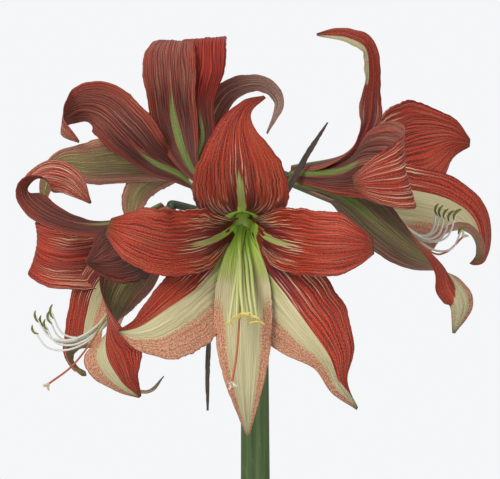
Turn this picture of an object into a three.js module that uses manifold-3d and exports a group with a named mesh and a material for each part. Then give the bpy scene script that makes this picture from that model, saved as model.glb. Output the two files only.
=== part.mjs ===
// Potted amaryllis: a bulb in a plain clay pot, four strap leaves, and one tall scape that
// carries four large open flowers and two dry bracts. Lengths are millimetres, +Z is up, and
// the front flower looks towards -Y. The origin is the centre of the pot's underside.

import * as THREE from 'three';
import Module from 'manifold-3d';

const wasm = await Module();
wasm.setup();

// Driving sizes.
const POT_HEIGHT = 125;
const POT_TOP_RADIUS = 75;
const POT_FOOT_RADIUS = 52;
const POT_WALL = 5.5;
const POT_FLOOR = 7;
const RIM_HEIGHT = 24;
const RIM_STEP = 3.5;
const DRAIN_RADIUS = 5;
const DRAIN_CIRCLE = 28;
const SOIL_TOP = 108;
const BULB_RADIUS = 44;
const NECK_TOP = 168;
const NECK_RADIUS = 21;
const SCAPE_FOOT = 154;
const SCAPE_TOP = 553;
const SCAPE_FOOT_RADIUS = 11.5;
const SCAPE_RADIUS = 9.4;
const TEPAL_THICKNESS = 0.8;
const LEAF_THICKNESS = 1.6;
const FIT_GAP = 0.3;
const INNER_RING = 5.6;
const OUTER_RING = 7.2;
const PLUG_LENGTH = 4;

// Colours of the outside and the look of each kind of piece.
const LOOKS = {
  clay: { color: 0xb5694a, roughness: 0.85, metalness: 0 },
  soil: { color: 0x3a2a20, roughness: 1, metalness: 0 },
  bulb: { color: 0x8a5a36, roughness: 0.8, metalness: 0 },
  leaf: { color: 0x4f7d3a, roughness: 0.5, metalness: 0 },
  scape: { color: 0x547048, roughness: 0.55, metalness: 0 },
  bract: { color: 0x463c32, roughness: 0.9, metalness: 0 },
  pedicel: { color: 0x4c6a3a, roughness: 0.55, metalness: 0 },
  red: { color: 0xc44a32, roughness: 0.5, metalness: 0 },
  pale: { color: 0xc9a684, roughness: 0.5, metalness: 0 },
  dusky: { color: 0x8a4238, roughness: 0.55, metalness: 0 },
  stamen: { color: 0xc9cc9a, roughness: 0.5, metalness: 0 },
  style: { color: 0xb8523c, roughness: 0.5, metalness: 0 },
};

// Smooth curve through evenly spaced values, read at t from 0 to 1. Values may be vectors.
function along(values, t) {
  const last = values.length - 1;
  if (last === 0) return values[0];
  const x = Math.min(Math.max(t, 0), 1) * last;
  const i = Math.min(Math.floor(x), last - 1);
  const f = x - i;
  const mix = (a, b, c, d) => 0.5 * (2 * b + (c - a) * f + (2 * a - 5 * b + 4 * c - d) * f * f
    + (3 * b - a - 3 * c + d) * f * f * f);
  const at = (k, pick) => {
    if (k < 0) return 2 * pick(values[0]) - pick(values[1]);
    if (k > last) return 2 * pick(values[last]) - pick(values[last - 1]);
    return pick(values[k]);
  };
  const read = (pick) => mix(at(i - 1, pick), at(i, pick), at(i + 1, pick), at(i + 2, pick));
  if (typeof values[0] === 'number') return read((v) => v);
  return values[0].map((_, axis) => read((v) => v[axis]));
}

function vec(list) {
  return new THREE.Vector3(list[0], list[1], list[2]);
}

function radians(degrees) {
  return (degrees * Math.PI) / 180;
}

// Closed solid from shared vertices and triangles.
function solid(points, faces) {
  const vertProperties = new Float32Array(points.length * 3);
  points.forEach((p, i) => vertProperties.set([p.x, p.y, p.z], i * 3));
  const triVerts = new Uint32Array(faces.flat());
  return new wasm.Manifold(new wasm.Mesh({ numProp: 3, vertProperties, triVerts }));
}

// Solid from a three.js geometry whose surface closes on itself.
function solidOf(geometry) {
  const position = geometry.getAttribute('position');
  const index = geometry.getIndex();
  const keys = new Map();
  const points = [];
  const ids = [];
  for (let i = 0; i < position.count; i += 1) {
    const p = new THREE.Vector3().fromBufferAttribute(position, i);
    const key = p.toArray().map((v) => Math.round(v * 10000)).join();
    if (!keys.has(key)) {
      keys.set(key, points.length);
      points.push(p);
    }
    ids.push(keys.get(key));
  }
  const faces = [];
  for (let i = 0; i < index.count; i += 3) {
    const face = [ids[index.getX(i)], ids[index.getX(i + 1)], ids[index.getX(i + 2)]];
    if (new Set(face).size === 3) faces.push(face);
  }
  return solid(points, faces);
}

// Round piece turned about Z from a profile of [radius, height] pairs.
function turned(profile, sides) {
  const geometry = new THREE.LatheGeometry(profile.map((p) => new THREE.Vector2(p[0], p[1])), sides);
  geometry.rotateX(Math.PI / 2);
  const piece = solidOf(geometry);
  return piece.volume() < 0 ? solidOf(flipped(geometry)) : piece;
}

function flipped(geometry) {
  const copy = geometry.clone();
  const index = copy.getIndex();
  for (let i = 0; i < index.count; i += 3) {
    const second = index.getX(i + 1);
    index.setX(i + 1, index.getX(i + 2));
    index.setX(i + 2, second);
  }
  return copy;
}

function placed(shape, x, y, z, turnX = 0) {
  return shape.rotate([turnX, 0, 0]).translate([x, y, z]);
}

// Rod along a smooth path, with a radius that follows its own smooth list.
function rod(path, radii, steps, sides, grow = 0) {
  const points = [];
  const faces = [];
  let side = null;
  for (let i = 0; i <= steps; i += 1) {
    const t = i / steps;
    const centre = vec(along(path, t));
    const ahead = vec(along(path, Math.min(t + 0.01, 1)));
    const behind = vec(along(path, Math.max(t - 0.01, 0)));
    const forward = ahead.sub(behind).normalize();
    if (side === null) {
      const helper = Math.abs(forward.z) < 0.9 ? new THREE.Vector3(0, 0, 1) : new THREE.Vector3(0, 1, 0);
      side = helper.cross(forward).normalize();
    }
    side = side.clone().addScaledVector(forward, -side.dot(forward)).normalize();
    const other = forward.clone().cross(side);
    const radius = along(radii, t) + grow;
    for (let k = 0; k < sides; k += 1) {
      const angle = (2 * Math.PI * k) / sides;
      points.push(centre.clone()
        .addScaledVector(side, radius * Math.cos(angle))
        .addScaledVector(other, radius * Math.sin(angle)));
    }
  }
  for (let i = 0; i < steps; i += 1) {
    for (let k = 0; k < sides; k += 1) {
      const a = i * sides + k;
      const b = i * sides + ((k + 1) % sides);
      faces.push([a, b, b + sides], [a, b + sides, a + sides]);
    }
  }
  const top = steps * sides;
  for (let k = 1; k < sides - 1; k += 1) {
    faces.push([0, k + 1, k], [top, top + k, top + k + 1]);
  }
  return solid(points, faces);
}

// Midrib of a blade, sampled evenly along its length: place, forward and inward directions.
function midrib(start, rows, count) {
  const path = [start.place, ...rows.map((row) => row.slice(0, 3))];
  const looks = [start.look, ...rows.map((row) => vec(row.slice(3)).normalize().toArray())];
  const fine = 160;
  const lengths = [0];
  for (let i = 1; i <= fine; i += 1) {
    const step = vec(along(path, i / fine)).distanceTo(vec(along(path, (i - 1) / fine)));
    lengths.push(lengths[i - 1] + step);
  }
  const stations = [];
  let k = 0;
  for (let i = 0; i <= count; i += 1) {
    const wanted = (lengths[fine] * i) / count;
    while (k < fine - 1 && lengths[k + 1] < wanted) k += 1;
    const t = (k + (wanted - lengths[k]) / (lengths[k + 1] - lengths[k])) / fine;
    const ahead = vec(along(path, Math.min(t + 0.006, 1)));
    const behind = vec(along(path, Math.max(t - 0.006, 0)));
    const forward = ahead.sub(behind).normalize();
    const look = vec(along(looks, t));
    look.addScaledVector(forward, -look.dot(forward)).normalize();
    stations.push({ place: vec(along(path, t)), forward, look, side: look.clone().cross(forward) });
  }
  return stations;
}

// Thin blade around a midrib: a grid of points pushed out to both faces and closed by a rim.
function blade(start, shape, thickness, grow = 0) {
  const rows = shape.steps ?? 10;
  const columns = shape.columns ?? 4;
  const stations = midrib(start, shape.rib, rows);
  const grid = stations.map((station, i) => {
    const s = i / rows;
    const tube = radians(start.tube ?? 0) * Math.max(1 - s / 0.34, 0);
    const line = [];
    for (let j = 0; j <= columns; j += 1) {
      const v = (2 * j) / columns - 1;
      const outline = v < 0 ? shape.outlineMinus ?? shape.outline : shape.outline;
      const half = (v < 0 ? shape.halfMinus ?? shape.half : shape.half) * along(outline, s);
      const cup = radians(along((v < 0 ? shape.cupMinus : shape.cup) ?? shape.cup, s)) + tube;
      const bend = Math.abs(cup) < 0.001 ? 0.001 : cup;
      const fade = Math.min(Math.max(3 * s - 0.8, 0), 1) * Math.min((1 - s) * 5, 1);
      const turn = 3 * s + (shape.phase ?? 0) + (v > 0 ? 0.37 : 0);
      const wave = (shape.ruffle ?? 1) * fade * Math.abs(v) ** 2.5 * Math.sin(2 * Math.PI * turn);
      const swing = bend * Math.abs(v) * (1 + grow / half);
      const across = (half * Math.sin(swing) * Math.sign(v)) / bend;
      const inward = (half * (1 - Math.cos(swing))) / bend + wave;
      const past = grow * (i === rows) - grow * (i === 0);
      line.push(station.place.clone()
        .addScaledVector(station.forward, past)
        .addScaledVector(station.side, across)
        .addScaledVector(station.look, inward));
    }
    return line;
  });
  const inner = [];
  const outer = [];
  for (let i = 0; i <= rows; i += 1) {
    for (let j = 0; j <= columns; j += 1) {
      const down = grid[Math.min(i + 1, rows)][j].clone().sub(grid[Math.max(i - 1, 0)][j]);
      const over = grid[i][Math.min(j + 1, columns)].clone().sub(grid[i][Math.max(j - 1, 0)]);
      const normal = down.cross(over).normalize();
      inner.push(grid[i][j].clone().addScaledVector(normal, thickness / 2 + grow));
      outer.push(grid[i][j].clone().addScaledVector(normal, -thickness / 2 - grow));
    }
  }
  const points = [...inner, ...outer];
  const back = inner.length;
  const faces = [];
  const wide = columns + 1;
  for (let i = 0; i < rows; i += 1) {
    for (let j = 0; j < columns; j += 1) {
      const a = i * wide + j;
      const b = a + 1;
      const c = a + wide;
      const d = c + 1;
      const split = (i + j) % 2 === 0 ? [[a, c, d], [a, d, b]] : [[a, c, b], [b, c, d]];
      split.forEach((face) => {
        faces.push(face);
        faces.push([face[0] + back, face[2] + back, face[1] + back]);
      });
    }
  }
  const rim = [];
  for (let j = 0; j < columns; j += 1) rim.push(j);
  for (let i = 0; i < rows; i += 1) rim.push(i * wide + columns);
  for (let j = columns; j > 0; j -= 1) rim.push(rows * wide + j);
  for (let i = rows; i > 0; i -= 1) rim.push(i * wide);
  rim.forEach((a, k) => {
    const b = rim[(k + 1) % rim.length];
    faces.push([a, b, b + back], [a, b + back, a + back]);
  });
  return solid(points, faces);
}

// What is left of a piece when the room of every solid that it could touch is cut away.
function cleared(piece, rooms) {
  const box = piece.boundingBox();
  const near = rooms.filter((room) => {
    const other = room.boundingBox();
    return [0, 1, 2].every((axis) => other.min[axis] < box.max[axis] && other.max[axis] > box.min[axis]);
  });
  return largest(near.reduce((rest, room) => rest.subtract(room), piece));
}

// Largest of the closed bodies in a solid.
function largest(piece) {
  const bodies = piece.decompose();
  return bodies.reduce((best, body) => (body.volume() > best.volume() ? body : best));
}

// Axis of a flower and its two cross directions: first to the right, then upwards.
function crossFrame(flower) {
  const axis = vec(flower.axis).normalize();
  const right = axis.clone().negate().cross(new THREE.Vector3(0, 0, 1)).normalize();
  const up = axis.clone().cross(right);
  return { axis, right, up };
}

function tepalStart(flower, tepal) {
  const { right, up } = crossFrame(flower);
  const angle = radians(tepal.azimuth);
  const outward = right.multiplyScalar(Math.cos(angle)).addScaledVector(up, Math.sin(angle));
  const ring = tepal.inner ? INNER_RING : OUTER_RING;
  return {
    place: vec(flower.base).addScaledVector(outward, ring).toArray(),
    look: outward.clone().negate().toArray(),
    tube: 60,
  };
}

// First place and look of a blade that gives both in one list.
function startOf({ start }) {
  return { place: start.slice(0, 3), look: vec(start.slice(3)).normalize().toArray() };
}

// Outline of a blade as shares of its half width, evenly spaced from base to tip.
const SIDE = [0.2, 0.32, 0.6, 0.9, 1, 1, 0.88, 0.25];
const SPEAR = [0.24, 0.42, 0.72, 0.96, 1, 0.82, 0.45, 0.04];
const PLAIN_CUP = [18, 10, 0];

// Flowers. Each row of a rib is x, y, z and the direction in which the inner face looks there.
// Tepals of a flower are listed from the one that lies on top of its neighbours downwards.
const FLOWERS = [
  {
    name: 'front',
    base: [-8, -46, 546],
    axis: [-0.03, -0.93, -0.37],
    pedicel: [[0, -6, 549], [-4, -20, 551]],
    tepals: [
      {
        name: 'bottom', azimuth: -90, inner: true, look: 'pale', half: 19,
        outline: SPEAR,
        rib: [[-9, -66, 528, 0, 0.1, 1], [-8, -98, 508, 0, -0.7, 0.6], [-8, -117, 478, 0, -0.95, 0.3],
          [-7, -119, 442, 0, -1, 0], [-5, -104, 401, 0, -0.9, -0.4]],
      },
      {
        name: 'left', azimuth: 160, inner: true, look: 'red', half: 19, halfMinus: 24,
        outline: SIDE,
        rib: [[-17, -66, 538, 1, 0, 0], [-33, -104, 529, 0.6, -0.75, 0],
          [-56, -133, 526, 0.35, -0.93, 0.1], [-77, -143, 532, 0, -1, 0.1],
          [-95, -138, 539, -0.3, -0.95, 0.1]],
      },
      {
        name: 'right', azimuth: 20, inner: true, look: 'red', half: 25, halfMinus: 18,
        outline: SIDE,
        rib: [[1, -66, 538, -1, 0, 0], [16, -104, 529, -0.6, -0.75, 0],
          [37, -133, 525, -0.35, -0.93, 0.1], [59, -143, 525, 0, -1, 0.1],
          [76, -140, 526, 0.3, -0.95, 0.1]],
      },
      {
        name: 'top', azimuth: 90, look: 'red', half: 31,
        outline: [0.24, 0.5, 0.82, 1, 1.02, 0.88, 0.55, 0.2, 0.04],
        rib: [[-9, -66, 550, 0, 0.2, -1], [-9, -102, 558, 0, -0.5, -0.8],
          [-11, -130, 578, 0, -0.85, -0.5], [-12, -141, 602, 0, -0.98, 0.1],
          [-6, -140, 616, 0.3, -0.9, 0.3], [6, -134, 623, 0.5, -0.5, 0.7]],
      },
      {
        name: 'lower_left', azimuth: 212, look: 'pale', half: 31, halfMinus: 23,
        outline: [0.25, 0.42, 0.68, 0.9, 1, 1.06, 0.88, 0.02],
        outlineMinus: [0.25, 0.42, 0.68, 0.9, 0.92, 0.75, 0.42, 0.04], cup: [18, -5, -14, -10],
        cupMinus: PLAIN_CUP,
        rib: [[-15, -62, 532, 0.8, 0.1, 0.6], [-23, -88, 515, 0.5, -0.6, 0.5],
          [-38, -114, 498, 0.3, -0.9, 0.3], [-56, -135, 486, 0, -1, 0.1], [-74, -146, 475, 0, -1, 0.1],
          [-88, -143, 472, -0.1, -1, 0.1]],
      },
      {
        name: 'lower_right', azimuth: -32, look: 'pale', half: 27, steps: 12,
        outline: [0.25, 0.4, 0.65, 0.92, 1.06, 1.12, 1.1, 0.74, 0.24, 0.05],
        outlineMinus: [0.25, 0.4, 0.65, 0.92, 1.05, 1.08, 0.8, 0.42, 0.28, 0.06], cup: [18, 0, -14, -8],
        cupMinus: [18, 10, 10, 0],
        rib: [[-1, -66, 532, -0.8, 0.1, 0.6], [5, -92, 512, -0.4, -0.7, 0.5],
          [19, -108, 493, -0.2, -0.95, 0.2], [34, -114, 472, 0.1, -1, 0.1], [47, -114, 454, 0.1, -1, 0.1],
          [55, -110, 436, 0.3, -0.9, 0.1], [67, -104, 420, 0.5, -0.6, 0.5]],
      },
    ],
    filaments: [[-9, -75, 530], [-8, -100, 515], [-8, -125, 498], [-7, -148, 480]],
    fan: [[-10, 0, -3], [-5, 2, 1], [-1, -3, 3], [2, 3, 3], [5, -2, 1], [8, 0, -2]],
    anther: [4, -1, 0],
    pistil: [[-8.2, -51.8, 543.7], [-9, -88, 518], [-10, -128, 486], [-12, -152, 458], [-15, -160, 440]],
    stigma: [0, -1, -1],
  },
  {
    name: 'back',
    base: [-37, 35, 568],
    axis: [-0.46, 0.6, 0.66],
    pedicel: [[-4, 4, 549], [-16, 14, 551]],
    tepals: [
      {
        name: 'upright', azimuth: 60, look: 'dusky', half: 19, steps: 12,
        outline: [0.24, 0.42, 0.72, 0.9, 0.95, 1, 0.95, 0.78, 0.35],
        outlineMinus: [0.24, 0.42, 0.72, 0.9, 0.95, 1, 0.82, 0.5, 0.2],
        rib: [[-49, 40, 588, 0, 1, -0.2], [-58, 49, 617, 0, 0.9, 0.3], [-61, 42, 645, 0, 1, 0.1],
          [-62, 45, 664, 0, 0.95, -0.2], [-60, 60, 675, 0, 0.5, -0.85], [-57, 82, 672, 0, 0, -1]],
      },
      {
        name: 'top', azimuth: 120, inner: true, look: 'red', half: 16, steps: 12,
        outline: [0.3, 0.45, 0.62, 0.68, 0.8, 1.02, 1.05, 0.8],
        rib: [[-42, 48, 588, 0, 1, -0.2], [-38, 55, 606, -0.3, 0.9, 0.2], [-41, 53, 631, -0.2, 0.95, 0.1],
          [-38, 51, 653, 0, 1, -0.1], [-37, 57, 674, 0.1, 0.6, -0.8], [-33, 74, 678, 0.1, 0, -1]],
      },
      {
        name: 'left', azimuth: 0, inner: true, look: 'dusky', half: 25, halfMinus: 15, steps: 12,
        outline: SPEAR,
        rib: [[-54, 47, 577, 0, 1, -0.2], [-74, 46, 587, 0.3, 0.9, 0.3], [-93, 38, 604, 0.1, 0.95, 0.3],
          [-111, 38, 621, -0.3, 0.8, 0.5], [-128, 42, 623, -0.8, 0.5, 0.3],
          [-138, 33, 611, -0.9, -0.3, -0.1], [-125, 24, 600, -0.5, -0.85, -0.1]],
      },
      {
        name: 'right', azimuth: 180, look: 'dusky', half: 14, steps: 12,
        outline: [0.24, 0.42, 0.75, 0.88, 0.78, 0.62, 0.42, 0.36, 0.1],
        rib: [[-42, 58, 588, -0.7, 0.4, 0.2], [-36, 70, 611, -0.7, 0.7, 0.2],
          [-20, 75, 638, -0.4, 0.9, 0.4], [4, 80, 645, 0.1, 0.8, 0.6], [18, 85, 632, 0.7, 0.6, 0.3],
          [9, 88, 609, 0.9, 0.4, -0.2]],
      },
      {
        name: 'lower', azimuth: 300, look: 'dusky', half: 23, steps: 12,
        outline: [0.25, 0.42, 0.75, 0.95, 1, 0.8, 0.5, 0.3, 0.05],
        rib: [[-55, 58, 582, 0.2, 0.8, 0.6], [-76, 62, 588, 0.2, 0.8, 0.6], [-99, 58, 588, 0.1, 0.8, 0.6],
          [-120, 50, 586, 0, 0.8, 0.6], [-139, 46, 586, -0.2, 0.8, 0.5], [-149, 42, 572, -0.6, 0.8, 0.2],
          [-152, 40, 554, -0.6, 0.8, 0.2]],
      },
      {
        name: 'hanging', azimuth: 240, inner: true, look: 'dusky', half: 15,
        outline: [0.24, 0.45, 0.8, 1, 0.92, 0.75, 0.5, 0.08],
        rib: [[-56, 66, 579, 0.2, 0.4, 0.9], [-70, 76, 578, 0.1, 0.6, 0.8],
          [-82, 80, 571, -0.3, 0.85, 0.4], [-89, 80, 558, -0.2, 0.95, 0.1], [-90, 78, 538, -0.1, 1, 0.1]],
      },
    ],
    filaments: [[-48, 57, 586], [-61, 76, 604], [-74, 94, 616], [-84, 112, 622]],
    fan: [[-5, 2, -2], [-3, 5, 1], [-1, 1, 3], [3, 4, 2], [6, 1, 1], [9, 2, -2]],
    anther: [3, 2, 2],
    pistil: [[-39.2, 37.9, 571.2], [-47, 56, 585], [-60, 76, 600], [-72, 98, 610], [-82, 122, 612],
      [-90, 134, 616]],
    stigma: [-1, 1, 0],
  },
  {
    name: 'left',
    base: [-60, -8, 551],
    axis: [-0.64, -0.22, -0.74],
    pedicel: [[-6, 0, 549], [-32, -3, 550]],
    tepals: [
      {
        name: 'near', azimuth: 30, inner: true, look: 'dusky', half: 22,
        outline: SPEAR,
        rib: [[-79, -35, 529, -0.4, 0.8, -0.4], [-92, -62, 520, -0.5, 0.6, -0.5],
          [-103, -85, 516, -0.7, 0.4, -0.4], [-111, -105, 516, -0.9, 0.2, -0.2]],
      },
      {
        name: 'top', azimuth: 90, look: 'dusky', half: 15, steps: 14,
        outline: [0.4, 0.6, 0.85, 1, 0.97, 0.88, 0.75, 0.85, 0.6, 0.06],
        rib: [[-86, -18, 546, 0, 0.3, -1], [-113, -30, 541, 0, 0.45, -0.9],
          [-139, -38, 548, -0.2, 0.6, -0.8], [-156, -38, 562, -0.8, 0.6, -0.1],
          [-153, -32, 572, -0.6, -0.3, 0.7], [-142, -26, 575, -0.3, -0.8, 0.5],
          [-128, -25, 571, -0.1, -0.95, 0.3], [-113, -30, 556, 0.2, -0.95, 0.2]],
      },
      {
        name: 'low_near', azimuth: 330, look: 'pale', half: 28, halfMinus: 18, steps: 12,
        outline: [0.3, 0.6, 0.95, 1.05, 0.95, 0.9, 0.95, 1, 0.6, 0.06], cup: [18, 14, -15, -75, -30, 0],
        cupMinus: [18, 10, 10, 0],
        rib: [[-72, -22, 531, -0.3, 0.9, -0.2], [-82, -32, 511, -0.4, 0.9, 0],
          [-94, -40, 491, -0.6, 0.8, 0], [-101, -42, 469, -1, 0, 0], [-102, -45, 451, -0.6, -0.8, -0.2],
          [-92, -42, 434, -0.5, -0.8, -0.3], [-79, -36, 423, -0.4, -0.9, -0.3]],
      },
      {
        name: 'far', azimuth: 150, inner: true, look: 'red', half: 23, steps: 12,
        outline: [0.3, 0.5, 0.85, 1, 0.95, 0.9, 0.7, 0.45, 0.06],
        rib: [[-88, 12, 527, 0, -1, 0], [-112, 22, 519, 0, -1, 0], [-134, 20, 517, -0.2, -1, 0],
          [-152, 28, 522, -0.8, -0.6, 0.2], [-156, 44, 529, -0.9, 0.3, 0.2],
          [-147, 58, 539, -0.3, 0.9, 0.2], [-131, 62, 545, 0.3, 0.9, 0.1]],
      },
      {
        name: 'low_far', azimuth: 210, look: 'pale', half: 16, steps: 12,
        outline: [0.3, 0.55, 0.95, 1, 1, 1, 1, 0.9, 0.12],
        rib: [[-95, 12, 515, 0, -1, 0], [-112, 20, 497, -0.2, -1, 0], [-119, 22, 476, -0.5, -0.85, 0],
          [-122, 16, 458, -0.6, -0.8, 0], [-129, 5, 448, -0.8, -0.3, -0.5],
          [-119, -8, 436, -0.3, 0.4, -0.85]],
      },
      {
        name: 'low_back', azimuth: 270, inner: true, look: 'pale', half: 12, steps: 12,
        outline: SPEAR,
        rib: [[-74, 8, 520, -0.9, -0.2, 0.3], [-86, 18, 499, -0.9, -0.2, 0.3],
          [-97, 22, 470, -1, -0.2, 0.1], [-104, 20, 448, -1, -0.2, 0], [-92, 15, 428, -0.5, -0.3, -0.8],
          [-75, 10, 424, 0.1, -0.4, -0.9], [-64, 5, 435, 0.7, -0.4, -0.6]],
      },
    ],
    filaments: [[-77, -13, 526], [-91, -16, 496], [-104, -19, 472], [-121, -20, 460], [-137, -20, 461],
      [-145, -20, 474]],
    fan: [[-6, -2, 3], [-3, 2, 0], [0, -3, -2], [2, 3, 3], [4, 0, 7], [-8, 1, -6]],
    anther: [-1, 0, 4],
    pistil: [[-63, -9, 547.5], [-84, -20, 508], [-103, -24, 478], [-112, -25, 462], [-126, -24, 444],
      [-143, -22, 431]],
    stigma: [-1, 0, -1],
  },
  {
    name: 'right',
    base: [25, 15, 575],
    axis: [0.95, -0.25, -0.1],
    pedicel: [[4, 5, 549], [8, 12, 560]],
    tepals: [
      {
        name: 'near', azimuth: 150, inner: true, look: 'dusky', half: 27, steps: 12,
        outline: [0.24, 0.42, 0.72, 0.92, 1, 1, 0.75, 0.2],
        rib: [[56, -12, 578, 0, 0.8, -0.5], [76, -45, 584, 0.8, 0.5, -0.2], [97, -74, 580, 1, 0.1, 0],
          [97, -92, 573, 0.5, -0.85, 0], [65, -94, 568, -0.1, -0.98, 0.2]],
      },
      {
        name: 'low_near', azimuth: 210, look: 'dusky', half: 19, halfMinus: 25, steps: 12,
        outline: [0.3, 0.5, 0.85, 1, 1, 0.95, 0.85, 0.75, 0.45, 0.06], cup: PLAIN_CUP,
        cupMinus: [18, -10, -50, -75, -50, -10],
        rib: [[59, -2, 562, 0, 0.8, 0.5], [89, -12, 539, 0.1, 0.85, 0.4], [109, -18, 524, 0.3, 0.8, 0.5],
          [127, -20, 514, 0.7, 0.4, 0.6], [138, -20, 501, 0.8, -0.4, 0.5],
          [145, -20, 486, 0.7, -0.7, 0.2], [138, -15, 466, 0.7, -0.7, 0.1]],
      },
      {
        name: 'far', azimuth: 30, inner: true, look: 'red', half: 30,
        outline: [0.2, 0.3, 0.45, 0.8, 1.1, 1.08, 0.62, 0.1],
        rib: [[61, 30, 580, 0, -0.9, -0.4], [94, 50, 592, 0.3, -0.9, -0.2], [120, 62, 600, 0.3, -0.9, 0],
          [141, 72, 605, 0.35, -0.9, 0.1], [158, 84, 602, 0.4, -0.9, 0.1]],
      },
      {
        name: 'top', azimuth: 90, look: 'red', half: 17, steps: 18,
        outline: [0.4, 0.7, 1, 0.9, 0.6, 0.55, 0.9, 0.75, 0.55, 0.5, 0.5, 0.48, 0.35, 0.06],
        rib: [[63, 8, 590, 0.1, -0.2, -1], [78, 10, 609, 0.8, -0.5, -0.3], [81, 8, 630, 0.8, -0.6, 0],
          [82, 4, 651, 0.7, -0.7, 0], [78, 0, 667, 0.7, -0.6, 0.4], [63, -4, 674, 0.2, -0.7, 0.7],
          [43, -6, 674, 0, -0.8, 0.6]],
      },
      {
        name: 'low_far', azimuth: -30, look: 'pale', half: 30, halfMinus: 33, steps: 12,
        outline: [0.2, 0.35, 0.6, 0.9, 1.05, 1, 0.95, 0.75, 0.12],
        rib: [[61, 28, 570, 0, -0.9, 0.4], [101, 45, 557, 0.2, -0.9, 0.3], [127, 48, 552, 0.2, -0.9, 0.3],
          [147, 45, 544, 0.4, -0.8, 0.4], [158, 35, 530, 0.9, -0.2, 0.4],
          [157, 20, 515, 0.5, 0.85, -0.1]],
      },
      {
        name: 'low_back', azimuth: 270, inner: true, look: 'pale', half: 16,
        outline: SPEAR,
        rib: [[57, 12, 556, 0.2, -0.1, 1], [86, 35, 543, 0.5, -0.1, 0.8], [108, 42, 531, 0.5, 0, 0.8],
          [123, 50, 522, 0.5, 0, 0.8], [132, 62, 515, 0.4, 0.1, 0.8]],
      },
    ],
    filaments: [[53, 7, 569], [76, 4, 558], [98, 3, 544], [116, 4, 532], [127, 3, 535], [131, 2, 550]],
    fan: [[-4, -2, 2], [-1, 2, 1], [2, -3, -1], [6, 3, -2], [10, -1, -1], [14, 2, -12]],
    anther: [1, 0, 4],
    pistil: [[30.2, 13.6, 574.4], [60, 0, 563], [96, -3, 543], [122, 2, 523], [134, 6, 522],
      [146, 4, 533]],
    stigma: [1, 0, 1],
  },
];

// Leaves: straps that rise from the bulb's neck and arch outwards.
const LEAF_OUTLINE = [0.55, 0.75, 0.92, 1, 1, 0.95, 0.8, 0.5, 0.08];
const LEAVES = [
  {
    name: 'right', half: 22, outline: LEAF_OUTLINE, cup: [38, 16, 8], ruffle: 0.6,
    rib: [[22, -4, 200, -0.95, 0.15, 0.2], [36, -12, 252, -0.85, 0.25, 0.4], [66, -24, 302, -0.55, 0.15, 0.8],
      [108, -38, 322, 0, 0, 1], [150, -50, 300, 0.45, -0.1, 0.85]],
    start: [15.5, -2.5, 158, -0.98, 0.15, 0],
  },
  {
    name: 'left', half: 21, outline: LEAF_OUTLINE, cup: [38, 16, 8], ruffle: 0.6, phase: 0.3,
    rib: [[-23, -2, 205, 0.95, 0.1, 0.2], [-38, -8, 262, 0.85, 0.2, 0.35], [-62, -20, 312, 0.6, 0.15, 0.75],
      [-100, -32, 338, 0, 0, 1], [-140, -40, 322, -0.4, -0.1, 0.9]],
    start: [-15.5, -1.5, 158, 0.98, 0.15, 0],
  },
  {
    name: 'back', half: 21, outline: LEAF_OUTLINE, cup: [38, 16, 8], ruffle: 0.6, phase: 0.6,
    rib: [[3, 24, 206, 0, -0.95, 0.2], [8, 40, 262, -0.1, -0.85, 0.4], [20, 68, 310, -0.1, -0.6, 0.75],
      [34, 106, 334, 0, 0, 1], [46, 142, 322, 0.1, 0.35, 0.9]],
    start: [1.5, 15.5, 158, 0, -1, 0],
  },
  {
    name: 'front', half: 19, outline: LEAF_OUTLINE, cup: [38, 16, 8], ruffle: 0.6, phase: 0.8,
    rib: [[-5, -24, 196, 0, 0.95, 0.2], [-12, -42, 240, 0.1, 0.85, 0.4], [-24, -70, 278, 0.15, 0.6, 0.75],
      [-38, -104, 292, 0, 0, 1], [-50, -134, 276, -0.1, -0.45, 0.85]],
    start: [-1.5, -15.5, 158, 0, 1, 0],
  },
];

const BRACTS = [
  {
    name: 'upright', half: 3.3, outline: [0.9, 1, 0.9, 0.8, 0.6, 0.2], cup: [30, 30, 20], columns: 2,
    ruffle: 0.2, steps: 10,
    rib: [[20, -1, 562, 0.5, -0.8, 0.2], [29, -2, 577, 0.3, -0.9, 0.2], [38, 0, 593, 0.2, -0.9, 0.2],
      [51, 2, 613, 0.3, -0.9, 0]],
    start: [9, 0, 549, 0.3, -0.9, 0.3],
  },
  {
    name: 'hanging', half: 3.2, outline: [1, 1, 0.8, 0.6, 0.6, 0.3], cup: [30, 30, 20], columns: 2,
    ruffle: 0.2, steps: 12,
    rib: [[-20, -12, 540, -0.3, -0.9, 0], [-27, -14, 515, -0.2, -0.9, 0], [-31, -13, 475, -0.1, -0.95, 0],
      [-33, -11, 440, 0, -1, 0], [-33, -10, 412, 0, -1, 0]],
    start: [-8, -6, 548, -0.3, -0.9, 0.3],
  },
];

const scene = new THREE.Group();
scene.name = 'potted_amaryllis';

function addNode(name, look, piece) {
  const mesh = piece.getMesh();
  const geometry = new THREE.BufferGeometry();
  geometry.setAttribute('position', new THREE.BufferAttribute(new Float32Array(mesh.vertProperties), 3));
  geometry.setIndex(new THREE.BufferAttribute(new Uint32Array(mesh.triVerts), 1));
  geometry.computeVertexNormals();
  const material = new THREE.MeshStandardMaterial(LOOKS[look]);
  material.name = look;
  const node = new THREE.Mesh(geometry, material);
  node.name = name;
  scene.add(node);
}

// Scape, with a rounded top that the pedicels leave from.
function scapePiece(grow) {
  const top = SCAPE_TOP + grow;
  const radius = SCAPE_RADIUS + grow;
  return turned([[0, SCAPE_FOOT - grow], [SCAPE_FOOT_RADIUS + grow, SCAPE_FOOT - grow],
    [SCAPE_FOOT_RADIUS - 1.4 + grow, 300], [radius, 440], [radius, top - 6],
    [radius * 0.86, top - 2.4], [radius * 0.5, top - 0.6], [0, top]], 18);
}

const scape = scapePiece(0);
const scapeRoom = scapePiece(FIT_GAP);

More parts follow.
